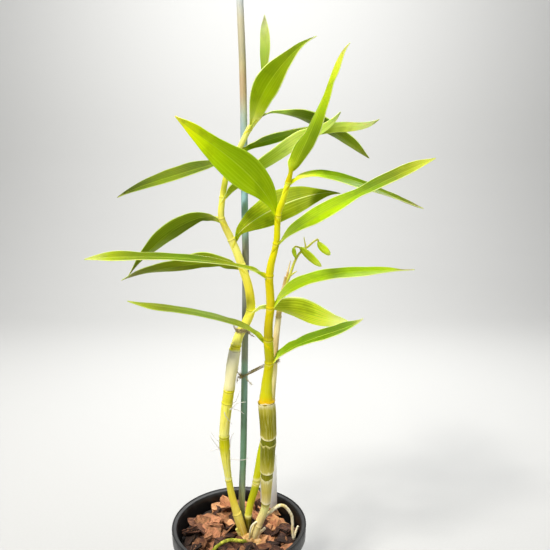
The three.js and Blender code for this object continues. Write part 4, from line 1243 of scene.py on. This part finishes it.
# Each leaf: colours along the face that is seen most, partly its own and partly painted light and shade,
# its edge, its midrib, how strong its veins are, and how strong its painted glow is, which stands in for
# light coming through it from behind.
LEFT_LOOKS = [
    ([(0, 230, 232, 110), (0.08, 224, 230, 110), (0.16, 150, 154, 20), (0.36, 146, 156, 10),
      (0.48, 184, 194, 16), (0.61, 230, 240, 40), (0.75, 250, 255, 84), (0.86, 255, 255, 150),
      (1, 255, 255, 170)], PALE_EDGE, FAINT_RIB, 1.0, 0.5),
    ([(0, 126, 134, 20), (0.25, 112, 128, 6), (0.36, 120, 134, 4), (0.5, 117, 127, 2), (0.62, 124, 140, 12),
      (0.76, 126, 136, 40), (0.86, 128, 128, 58), (0.95, 170, 166, 130), (1, 240, 236, 200)],
     LIGHT_EDGE, FAINT_RIB, 0.5, 0.0),
    ([(0, 190, 204, 6), (0.09, 164, 174, 8), (0.17, 170, 182, 14), (0.27, 210, 222, 18),
      (0.38, 196, 210, 10), (0.5, 156, 170, 2), (0.62, 142, 156, 2), (0.76, 142, 156, 2),
      (0.86, 166, 180, 4), (0.94, 174, 176, 40), (1, 190, 186, 130)], FAINT_EDGE, CLEAR_RIB, 0.8, 0.0),
    ([(0, 214, 212, 104), (0.06, 150, 154, 60), (0.11, 106, 114, 34), (0.18, 94, 110, 6),
      (0.36, 104, 123, 2), (0.5, 117, 138, 1), (0.65, 124, 145, 1), (0.8, 120, 138, 4), (0.9, 112, 122, 22),
      (1, 170, 166, 110)], LIGHT_EDGE, FAINT_RIB, 0.5, 0.0),
    ([(0, 150, 164, 10), (0.09, 136, 154, 4), (0.17, 112, 130, 2), (0.26, 134, 152, 4),
      (0.36, 150, 176, 24), (0.48, 188, 208, 66), (0.61, 246, 255, 130), (0.75, 236, 255, 100),
      (0.86, 240, 255, 118), (0.94, 220, 228, 130), (1, 190, 190, 150)], PALE_EDGE, FAINT_RIB, 0.5, 0.24),
    ([(0, 106, 122, 2), (0.12, 98, 114, 2), (0.25, 74, 89, 2), (0.36, 82, 99, 1), (0.5, 101, 116, 1),
      (0.62, 99, 114, 1), (0.76, 72, 89, 1), (0.86, 63, 74, 7), (0.94, 70, 72, 22), (1, 150, 146, 90)],
     LIGHT_EDGE, FAINT_RIB, 0.5, 0.0),
    ([(0, 116, 144, 2), (0.09, 118, 135, 4), (0.17, 100, 127, 5), (0.26, 102, 132, 14),
      (0.36, 124, 147, 24), (0.48, 140, 160, 28), (0.61, 154, 174, 32), (0.75, 244, 254, 106),
      (0.86, 246, 254, 150), (0.95, 236, 238, 160), (1, 180, 180, 110)], PALE_EDGE, FAINT_RIB, 0.4, 0.0),
    ([(0, 136, 148, 40), (0.09, 180, 200, 88), (0.17, 206, 224, 112), (0.25, 124, 140, 34),
      (0.36, 99, 120, 2), (0.5, 92, 116, 2), (0.62, 72, 92, 1), (0.75, 128, 148, 8), (0.86, 154, 168, 30),
      (1, 150, 150, 70)], PALE_EDGE, FAINT_RIB, 0.5, 0.0),
    ([(0, 192, 196, 62), (0.09, 211, 212, 104), (0.17, 190, 201, 56), (0.26, 158, 177, 12),
      (0.36, 148, 173, 2), (0.5, 127, 150, 1), (0.62, 123, 145, 1), (0.76, 112, 131, 1),
      (0.86, 112, 133, 2), (0.94, 112, 122, 30), (1, 200, 200, 160)], PALE_EDGE, FAINT_RIB, 0.35, 0.0),
    ([(0, 120, 140, 20), (0.25, 129, 150, 2), (0.36, 155, 174, 10), (0.48, 155, 176, 64),
      (0.61, 166, 189, 78), (0.75, 193, 206, 106), (0.86, 220, 226, 148), (0.95, 184, 186, 140),
      (1, 210, 206, 170)], LIGHT_EDGE, FAINT_RIB, 0.3, 0.0),
]
FRONT_LOOKS = [
    ([(0, 236, 248, 88), (0.09, 160, 193, 50), (0.16, 131, 164, 10), (0.25, 126, 157, 4),
      (0.36, 107, 147, 2), (0.5, 108, 142, 1), (0.62, 98, 131, 1), (0.76, 98, 130, 16),
      (0.86, 115, 149, 32), (0.94, 173, 180, 86), (1, 214, 214, 176)], PALE_EDGE, PALE_RIB, 0.5, 0.0),
    ([(0, 180, 194, 28), (0.09, 130, 146, 17), (0.17, 127, 137, 17), (0.26, 108, 122, 28),
      (0.37, 94, 117, 12), (0.5, 94, 123, 6), (0.62, 103, 126, 9), (0.76, 107, 118, 2),
      (0.86, 136, 147, 15), (0.95, 150, 161, 40), (1, 200, 204, 100)], LIGHT_EDGE, FAINT_RIB, 0.5, 0.0),
    # In front_leaf_3 the dark band at 0.48 is a painted shadow.
    ([(0, 186, 212, 40), (0.09, 170, 190, 72), (0.17, 153, 182, 10), (0.27, 150, 179, 2),
      (0.38, 155, 187, 1), (0.48, 102, 130, 1), (0.6, 147, 182, 1), (0.76, 148, 180, 2),
      (0.86, 171, 194, 26), (0.92, 150, 146, 70), (1, 170, 150, 120)], PALE_EDGE, FAINT_RIB, 0.4, 0.0),
    ([(0, 138, 156, 10), (0.09, 143, 159, 12), (0.17, 143, 153, 18), (0.26, 115, 127, 5),
      (0.37, 91, 117, 1), (0.49, 102, 132, 6), (0.62, 102, 122, 5), (0.75, 109, 126, 1),
      (0.86, 143, 157, 12), (0.94, 174, 182, 82), (1, 182, 186, 110)], PALE_EDGE, PALE_RIB, 0.4, 0.0),
    ([(0, 155, 173, 55), (0.09, 133, 159, 35), (0.17, 124, 154, 14), (0.26, 169, 200, 2),
      (0.37, 171, 201, 1), (0.49, 146, 178, 1), (0.62, 112, 142, 3), (0.76, 115, 131, 1),
      (0.86, 153, 161, 18), (0.94, 188, 192, 58), (1, 193, 199, 90)], PALE_EDGE, FAINT_RIB, 0.5, 0.0),
    ([(0, 171, 194, 1), (0.09, 150, 175, 1), (0.17, 139, 164, 1), (0.27, 147, 174, 1), (0.37, 144, 173, 1),
      (0.49, 153, 183, 1), (0.62, 172, 198, 1), (0.76, 214, 230, 2), (0.86, 240, 249, 8),
      (0.94, 252, 252, 52), (1, 245, 232, 98)], FAINT_EDGE, FAINT_RIB, 0.35, 0.0),
    ([(0, 224, 240, 14), (0.09, 223, 234, 90), (0.16, 203, 230, 40), (0.25, 137, 171, 2),
      (0.37, 106, 140, 1), (0.5, 99, 131, 2), (0.62, 92, 113, 4), (0.76, 102, 121, 4), (0.86, 97, 111, 10),
      (0.95, 124, 120, 64), (1, 160, 155, 120)], PALE_EDGE, FAINT_RIB, 0.4, 0.0),
    ([(0, 178, 194, 6), (0.09, 138, 159, 1), (0.17, 118, 144, 1), (0.26, 116, 144, 1), (0.37, 120, 149, 1),
      (0.5, 160, 190, 2), (0.62, 188, 209, 14), (0.76, 214, 228, 38), (0.86, 219, 222, 62),
      (0.94, 176, 172, 76), (1, 190, 186, 110)], PALE_EDGE, FAINT_RIB, 0.45, 0.0),
]

# The leaves whose colours above are those of the underside
LEFT_UNDERSIDES = (1, 2, 3, 4, 5, 8)
FRONT_UNDERSIDES = (2, 8)
LEFT_FOOT = (238, 226, 76)
FRONT_FOOT = (222, 208, 6)
FOOT_REACH = 0.045
DULL_GREEN = (150, 166, 60)
DULLING = 0.2
UPPER_GLOSS = 0.4
UNDERSIDE_GLOSS = 0.5


def dulled(stops):
    """The colours of the face that is seen less."""
    return [
        (s, *[mixed(value, dull, DULLING) for value, dull in zip(tones, DULL_GREEN)]) for s, *tones in stops]


def dress_leaf(name, node, stem, leaf, look, foot, seed, turned_over):
    """foot is the colour of the part that is wrapped round the cane."""
    seen, edge, rib, veins, painted_glow = look
    faces = [seen, dulled(seen)]
    if turned_over:
        faces.reverse()
    blade = leaf_blade(name, stem, leaf, seed)
    upper, lower = [[(0, *foot)] + [(max(s, FOOT_REACH), *tones) for s, *tones in stops] for stops in faces]
    dress(blade, "leaf", [node],
          leaf_finish(name + "_upper", upper, edge, rib, veins, seed, UPPER_GLOSS, painted_glow),
          leaf_finish(name + "_underside", lower, edge, (rib[0], rib[1] * 0.8), veins * 0.8, seed,
                      UNDERSIDE_GLOSS, painted_glow))


for i, (leaf, look) in enumerate(zip(LEFT_LEAVES, LEFT_LOOKS), 1):
    dress_leaf(f"left_leaf_{i}", f"left_cane_leaf_{i}", left_stem, leaf, look, LEFT_FOOT, 1.3 * i,
               i in LEFT_UNDERSIDES)
for i, (leaf, look) in enumerate(zip(FRONT_LEAVES, FRONT_LOOKS), 1):
    dress_leaf(f"front_leaf_{i}", f"front_cane_leaf_{i}", front_stem, leaf, look, FRONT_FOOT, 20 + 1.7 * i,
               i in FRONT_UNDERSIDES)

# %% [markdown]
# ## Rhizome and roots
# The canes meet in a short knobbly rhizome, half sunk in the bark. Orchid roots are thick cords with a dull
# spongy skin, white where it is dry and green where it is wet. Each one is a tube whose radius wanders a
# little. The rhizome's lumps are tubes and balls grown into one with a Remesh modifier, which rounds off
# the joins.

# %% Rhizome
RHIZOME_ROUTE = [(-4, 6, 80), (3, 3, 83), (9, -4, 86), (14, -8, 88), (20, -12, 85)]
RHIZOME_KNOBS = [((9.6, -8.6, 93.4), 4.8), ((5, -1.5, 88.6), 4.6), ((2, 1, 88), 4.6), ((13.2, -7, 92), 4.4)]

RHIZOME_RADIUS = 6.2

rhizome_line = smooth_line(RHIZOME_ROUTE, 6)
lumps = [tube("rhizome", rhizome_line, [RHIZOME_RADIUS] * len(rhizome_line), 16)]
for centre, radius in RHIZOME_KNOBS:
    bpy.ops.mesh.primitive_ico_sphere_add(subdivisions=3, radius=radius * MM, location=Vector(centre) * MM)
    lumps.append(bpy.context.object)
rhizome = joined("rhizome", lumps)
bpy.ops.object.transform_apply(location=True)
apply_modifier(rhizome, "REMESH", mode="VOXEL", voxel_size=0.7 * MM)
apply_modifier(rhizome, "SMOOTH", factor=0.6, iterations=6)
for point in rhizome.data.vertices:
    spot = point.co / MM
    point.co += point.normal * (0.45 * noise.noise(spot * 0.35) + 0.2 * noise.noise(spot * 1.1)) * MM
bpy.ops.object.shade_smooth()

knob = Finish("rhizome_skin")
knob_spot = knob.spot()
knob_patches = knob.clouds(knob_spot, 0.14, 4, 0.6)
knob_fine = knob.clouds(knob.stretched(knob_spot, 1, 1, 0.5), 1.2, 4, 0.6)
KNOB_TONES = [
    (0.3, 140, 98, 50), (0.42, 214, 166, 96), (0.58, 240, 198, 138), (0.75, 246, 222, 172),
]
dress(rhizome, "roots", ["rhizome_with_roots"], knob.surface(
    knob.bands(knob_patches + (knob_fine - 0.5) * 0.3, KNOB_TONES), 0.7, knob_fine, 0.4))

# %% Roots in the pot
# The radius of each root at its start, and its route
POT_ROOTS = [
    (1.6, [(18, -9, 104), (21, -8.5, 111), (24, -8, 115.4), (27.6, -7, 117.4), (31.1, -6, 120),
           (34.2, -5, 121.8), (37.8, -4, 122.2), (41.4, -3, 120), (44.5, -2, 115.6), (47, -1, 110),
           (47.8, -1, 103.5), (47.7, -2, 97.3), (48.6, -3, 90)]),
    (1.7, [(7, -11, 92), (3, -14, 94.6), (-1.3, -14.6, 95.4), (-7.4, -15, 96.2), (-12.6, -16.4, 95.4),
           (-16.7, -19, 94.2), (-20.6, -23.4, 93), (-25, -30, 91), (-29, -37, 85)]),
    (1.4, [(16, -7, 92), (18, -5, 96.3), (20.4, -5, 98.4), (23.4, -4, 100.6)]),
    (1.2, [(48.6, -3, 89), (50.9, -1, 95.2), (52.8, 0, 99.9)]),
    (0.9, [(9.4, -12.4, 96), (10.2, -13, 103), (11.2, -13, 107.4), (13.6, -12, 110), (16.4, -10, 110.4)]),
    (1.7, [(1.6, -1.5, 90), (-0.6, -3, 95.5), (-2.4, -3.8, 99.6)]),
    (0.6, [(-14.5, -6, 94), (-10.8, -6, 98), (-7.4, -1.5, 99.6), (-3.4, 2.6, 101.6)]),
]


def tapered(line, first, last):
    """Radii along a line that change evenly from the first to the last."""
    return [mixed(first, last, i / (len(line) - 1)) for i in range(len(line))]


def root_tube(name, radius, route, seed, steps=8, columns=12, taper=0.8):
    line = smooth_line(route, steps)
    radii = [radius * share for share in tapered(line, 1, taper)]

    def relief(turn, row):
        return radius * 0.16 * noise.noise(Vector((math.cos(turn), math.sin(turn), seed + row * 0.35)))

    return tube(name, line, radii, columns, relief)


def root_finish(name, dry, wet, share):
    """share is how much of the root is wet."""
    finish = Finish(name)
    patches = finish.clouds(finish.spot(), 0.12, 3, 0.6)
    fine = finish.clouds(finish.spot(), 1.4, 4, 0.65)
    wetness = finish.rise(patches + (fine - 0.5) * 0.2, 0.66 - share * 0.3, 0.5 - share * 0.3)
    colour = finish.layered(wet, (wetness, dry), (finish.rise(fine, 0.6, 0.75) * 0.4, paint(128, 100, 60)))
    return finish.surface(colour, 0.8, fine, 0.3)


white_root = root_finish("white_root", paint(250, 238, 200), paint(222, 202, 134), 0.05)
green_root = root_finish("green_root", paint(206, 204, 70), paint(122, 128, 10), 0.4)
budding_root = root_finish("budding_root", paint(236, 224, 130), paint(196, 188, 60), 0.2)
tan_root = root_finish("tan_root", paint(190, 140, 100), paint(150, 104, 70), 0.2)
root_skins = [white_root, green_root, white_root, white_root, white_root, budding_root, tan_root]
for i, ((radius, route), skin) in enumerate(zip(POT_ROOTS, root_skins), 1):
    dress(root_tube(f"pot_root_{i}", radius, route, 5.0 * i), "roots", ["rhizome_with_roots"], skin)

# %% Thin aerial roots
AERIAL_ROOTS = [
    [(-10, 6, 207), (-5.9, 3, 209.7), (-0.5, 2, 214.6), (6.5, 3, 215.2)],
    [(-10, 6, 206), (-5.1, 3, 208.8), (1.1, 3, 206.9), (4.6, 4, 203.8)],
    [(-8, 7, 212), (-3, 5, 215), (1.1, 6, 225)],
    [(-12.5, 5, 207), (-12, 2, 203.6), (-6, 1, 195.8)],
    [(-14, 7, 168), (-19.1, 6, 172), (-25.9, 4, 183.3)],
    [(-14, 7, 175), (-19.9, 6, 178.7), (-25.4, 8, 185.3)],
    [(-13, 7, 169), (-19.1, 6, 170.2), (-26.2, 5, 168.8)],
    [(-12, 6, 168), (-8.4, 5, 171), (-7.3, 4, 181), (-4.5, 3, 187)],
    [(-12, 6, 160), (-6.7, 5, 161.2), (3, 5, 160.2), (8.5, 6, 162.1)],
]
aerial = joined("aerial_roots", [
    root_tube(f"aerial_{i}", 0.4, route, 2.0 * i, 6, 6, 0.5) for i, route in enumerate(AERIAL_ROOTS)])
dress(aerial, "cane", ["left_cane"],
      root_finish("aerial_root", paint(240, 236, 230), paint(206, 200, 190), 0.2))

# %% [markdown]
# ## The old cane's tip and the flower spike
# The old cane ends in a dry pointed stub. Beside it a short flower spike carries three plump green buds,
# each on its own stalk, with a small dry bract here and there. A bud is a tube whose radius follows a
# given swell.

# %% Stub
OLD_STUB_ROUTE = [(41.4, 13, 318), (42.6, 13, 326), (44, 12.6, 333), (45.5, 12, 339.5)]
stub_line = smooth_line(OLD_STUB_ROUTE, 6)
stub = tube("old_cane_stub", stub_line, tapered(stub_line, 1.5, 0.3), 12)
dress(stub, "dry_cane", ["old_cane"],
      root_finish("dry_stub", paint(244, 222, 168), paint(206, 170, 104), 0.15))

# %% Flower spike
SPIKE_STEM = [
    (39.8, 13, 314), (44.2, 10.6, 325), (46.6, 10, 332), (48.9, 9.6, 338.5), (52.3, 9, 345),
    (56.5, 8.6, 349.4), (60.5, 8, 352), (64.2, 7.4, 355.4), (67.4, 7, 357.8),
]
# The stalk, the body and the radius of each bud
SPIKE_BUDS = [
    ([(50, 9.4, 341.5), (47.6, 10, 347), (49.4, 9.8, 351.6), (53.6, 9.2, 351)],
     [(53.6, 9.2, 351), (58, 8.8, 347), (65, 8.4, 340.5), (72, 8, 334.6)], 3.3),
    ([(66.5, 7.2, 357), (68.4, 6.8, 358.2), (69.2, 6.6, 355.6)],
     [(68.6, 6.6, 356), (71.6, 6.4, 352), (75.4, 6.2, 348.4), (79.2, 6, 344.8)], 3.2),
    ([(51, 9.2, 343), (48.6, 7.4, 344)],
     [(50, 7.6, 342.4), (48.8, 7.4, 345.5), (48.2, 7.2, 348.6), (47.8, 7, 351.5)], 1.9),
]
SPIKE_BRACTS = [
    ([(57.8, 8.4, 350), (58.2, 8.8, 352.5), (57.4, 9, 356.6), (56.8, 9, 360.2)], 0.9),
    ([(44.5, 10.4, 326), (47.6, 9.6, 328.4), (51, 9, 330.6)], 1.2),
]
BUD_SWELL = [(0, 0.3), (0.06, 0.5), (0.15, 0.74), (0.4, 0.98), (0.6, 1), (0.8, 0.82), (0.93, 0.5), (1, 0.12)]


def bud_body(name, route, radius, seed):
    line = smooth_line(route, 8)
    last = len(line) - 1
    radii = [radius * value_at(BUD_SWELL, i / last) for i in range(last + 1)]

    def relief(turn, row):
        fold = abs(math.cos(1.5 * turn + 0.3)) ** 0.5 - 0.8
        lump = noise.noise(Vector((math.cos(turn), math.sin(turn), row * 0.2 + seed)))
        return radius * (0.09 * fold + 0.05 * lump)

    return tube(name, line, radii, 24, relief)


stem_line = smooth_line(SPIKE_STEM, 6)
spike_parts = [tube("spike_stem", stem_line, tapered(stem_line, 1.3, 0.8), 12)]
for i, (stalk, body, radius) in enumerate(SPIKE_BUDS):
    spike_parts.append(root_tube(f"stalk_{i}", 0.75, stalk, i, 6, 10, 1.1))
for i, (route, radius) in enumerate(SPIKE_BRACTS):
    spike_parts.append(root_tube(f"bract_{i}", radius, route, 3 + i, 6, 8, 0.3))
spike = joined("flower_spike", spike_parts)
buds = joined("flower_buds", [
    bud_body(f"bud_{i}", body, radius, 4.0 * i) for i, (_, body, radius) in enumerate(SPIKE_BUDS)])

green = Finish("spike_green")
green_clouds = green.clouds(green.spot(), 0.3, 3)
dress(spike, "bud", ["flower_spike"], green.surface(
    green.blend(green_clouds, paint(196, 200, 50), paint(224, 216, 110)), 0.5, green_clouds, 0.2,
    Specular_IOR_Level=0.15))
petal = Finish("bud_green")
petal_across, petal_along = petal.across_and_along()
petal_streaks = petal.clouds(petal.vector(petal_across * 22, petal_along * 1.2, 0.0), 1, 3)
PETAL_BANDS = [(0.0, 186, 206, 20), (0.3, 206, 228, 20), (0.7, 214, 236, 30), (1.0, 234, 242, 110)]
petal_colour = petal.layered(
    petal.bands(petal_along, PETAL_BANDS),
    (petal.rise(petal_streaks, 0.45, 0.65) * 0.35, paint(236, 244, 120)),
    (petal.rise(petal_streaks, 0.45, 0.3) * 0.35, paint(140, 160, 10)))
dress(buds, "bud", ["flower_spike"], petal.surface(
    petal_colour, 0.48, petal_streaks, 0.15, Specular_IOR_Level=0.15, Subsurface_Weight=0.4, **SOFT_FLESH))

# %% [markdown]
# ## The ties
# Jute holds two of the canes to the stake: the upper tie goes round twice and the lower one three times. Jute
# is two plies twisted round each other, so each turn is two thin tubes that wind round the same line. Short
# hairs stand out of it all round.

# %% Ties
HALF_TURN_STEPS = 10
PLIES = 2
PLY_PITCH = 5.0
END_PITCH = 4.0
HAIR_RADIUS = 0.09


def line_round(post_a, radius_a, post_b, radius_b):
    """A loop round two posts."""
    bearing = math.atan2(post_b.y - post_a.y, post_b.x - post_a.x)
    points = []
    for post, radius, start in (
            (post_a, radius_a, bearing + math.pi / 2), (post_b, radius_b, bearing - math.pi / 2)):
        for i in range(HALF_TURN_STEPS + 1):
            angle = start + math.pi * i / HALF_TURN_STEPS
            points.append(post + Vector((math.cos(angle), math.sin(angle), 0)) * radius)
    return smooth_line(points, 3, closed=True)


def plies(name, line, radius, pitch, closed=False):
    """Thin tubes twisted round one line."""
    frames = sides_of(line, closed)
    travel = [0.0]
    for a, b in zip(line, line[1:]):
        travel.append(travel[-1] + (b - a).length)
    made = []
    for ply in range(PLIES):
        wound = []
        for point, (_, side, up), run in zip(line, frames, travel):
            turn = 2 * math.pi * (run / pitch + ply / PLIES)
            wound.append(point + (side * math.cos(turn) + up * math.sin(turn)) * radius * 0.5)
        if closed:
            wound.append(wound[0])
        made.append(tube(f"{name}_{ply}", wound, [radius * 0.55] * len(wound), 8))
    return made


def hairs(name, line, radius, count, longest):
    made = []
    for i in range(count):
        foot = line[chance.randrange(len(line))]
        lean = Vector((chance.uniform(-1, 1), chance.uniform(-1, 1), chance.uniform(-1, 1))).normalized()
        bow = Vector((chance.uniform(-1, 1), chance.uniform(-1, 1), chance.uniform(-1, 1)))
        reach = chance.uniform(0.4, 1) * longest
        middle = foot + lean * reach * 0.5 + bow * 0.15 * reach
        points = [foot + lean * radius * 0.4, middle, foot + lean * reach]
        made.append(tube(f"{name}_{i}", smooth_line(points, 2), [HAIR_RADIUS] * 5, 3))
    return made


def tie(name, stem, cane_height, stake_height, strand, turns, hair_count, ends):
    """Jute of the radius strand, round the stake and a stem."""
    on_stake = stake_stem.place(stake_height)
    on_cane = stem.place(cane_height)
    parts = []
    for turn in range(turns):
        lift = Vector((0, 0, (turn - (turns - 1) / 2) * strand * 1.9))
        line = line_round(on_stake + lift, STAKE_RADIUS + strand * 1.05,
                          on_cane + lift, stem.radius(cane_height) + strand * 1.15)
        parts += plies(f"{name}_turn_{turn}", line, strand, PLY_PITCH, closed=True)
        parts += hairs(f"{name}_hair_{turn}", line, strand, hair_count, 3.6)
    for i, route in enumerate(ends):
        line = smooth_line(route, 8)
        parts += plies(f"{name}_end_{i}", line, strand * 0.6, END_PITCH)
        parts += hairs(f"{name}_end_hair_{i}", line, strand, hair_count // 3, 2.2)
    dress(joined(name, parts), "twine", [name], jute)


jute_finish = Finish("jute")
jute_fine = jute_finish.clouds(jute_finish.spot(), 1.1, 4, 0.6)
JUTE_BANDS = [(0.3, 110, 98, 60), (0.5, 164, 148, 100), (0.7, 216, 198, 150)]
jute = jute_finish.surface(jute_finish.bands(jute_fine, JUTE_BANDS), 0.92, jute_fine, 0.3)

tie("upper_tie", old_stem, 250, 234, 0.55, 2, 150, [
    [(2, 15.7, 234.5), (-1.6, 14, 238.5), (-1.3, 14, 243.8)],
    [(1.8, 15.7, 233.6), (-1.4, 13.6, 234), (-2.1, 14, 229.5)],
    [(5.5, 15.5, 233.2), (9, 14, 229.5), (11, 13, 227.5)],
])
tie("lower_tie", left_stem, 279, 274, 0.6, 3, 90, [
    [(-1.8, 4, 279.2), (-3.4, 1.6, 283), (-3.6, 0.6, 288.5)],
    [(9, 18.2, 273.5), (11, 17.6, 271.8), (13.6, 17.4, 270.4)],
])

# %% [markdown]
# ## The plant label
# A blank strip of white plastic stands behind the canes. It is a box with its upper corners and then all of
# its edges bevelled. Watering has left a faint brown tide line near the bark.

# %% Label
LABEL_SIZE = (16, 0.8, 78)
LABEL_BOTTOM = 72
LABEL_LEAN = -0.6
LABEL_PIVOT = (25.9, 38.5, 103)
LABEL_CORNER = 2
LABEL_BEVEL = 0.15
TOUCHING = 1e-5

label_middle = (LABEL_BOTTOM + LABEL_SIZE[2] / 2 - LABEL_PIVOT[2]) * MM
bpy.ops.object.select_all(action="DESELECT")
bpy.ops.mesh.primitive_cube_add(size=1, location=(0, 0, label_middle))
label = bpy.context.object
label.name = "plant_label"
label.scale = [side * MM for side in LABEL_SIZE]
bpy.ops.object.transform_apply(location=True, scale=True)
bpy.ops.object.mode_set(mode="EDIT")
bpy.ops.mesh.select_mode(type="EDGE")
bpy.ops.mesh.select_all(action="DESELECT")
bpy.ops.object.mode_set(mode="OBJECT")
corner_x = LABEL_SIZE[0] / 2 * MM
corner_z = (LABEL_BOTTOM + LABEL_SIZE[2] - LABEL_PIVOT[2]) * MM
for edge in label.data.edges:
    ends = [label.data.vertices[i].co for i in edge.vertices]
    at_corner = all(
        abs(abs(end.x) - corner_x) < TOUCHING and abs(end.z - corner_z) < TOUCHING for end in ends)
    edge.select = at_corner and abs(ends[0].y - ends[1].y) > TOUCHING
bpy.ops.object.mode_set(mode="EDIT")
bpy.ops.mesh.bevel(offset=LABEL_CORNER * MM, segments=4)
bpy.ops.object.mode_set(mode="OBJECT")
apply_modifier(label, "BEVEL", width=LABEL_BEVEL * MM, segments=2, limit_method="ANGLE",
               angle_limit=math.radians(40))
bpy.ops.transform.rotate(value=-math.radians(LABEL_LEAN), orient_axis="Y", center_override=(0, 0, 0))
label.location = Vector(LABEL_PIVOT) * MM
bpy.ops.object.transform_apply(location=True, rotation=True)
bpy.ops.object.shade_smooth_by_angle(angle=math.radians(40))

blank = Finish("label_plastic")
blank_spot = blank.spot()
blank_height = blank.axis(blank_spot, "Z")
blank_dirt = blank.clouds(blank_spot, 0.25, 5, 0.6)
tide = blank.rise(blank_height + blank_dirt * 16, 112, 96)
blank_colour = blank.blend(tide * 0.6, paint(238, 240, 240), paint(176, 160, 128))
dress(label, "label", ["plant_label"], blank.surface(blank_colour, blank_dirt * 0.2 + 0.3, blank_dirt, 0.05))
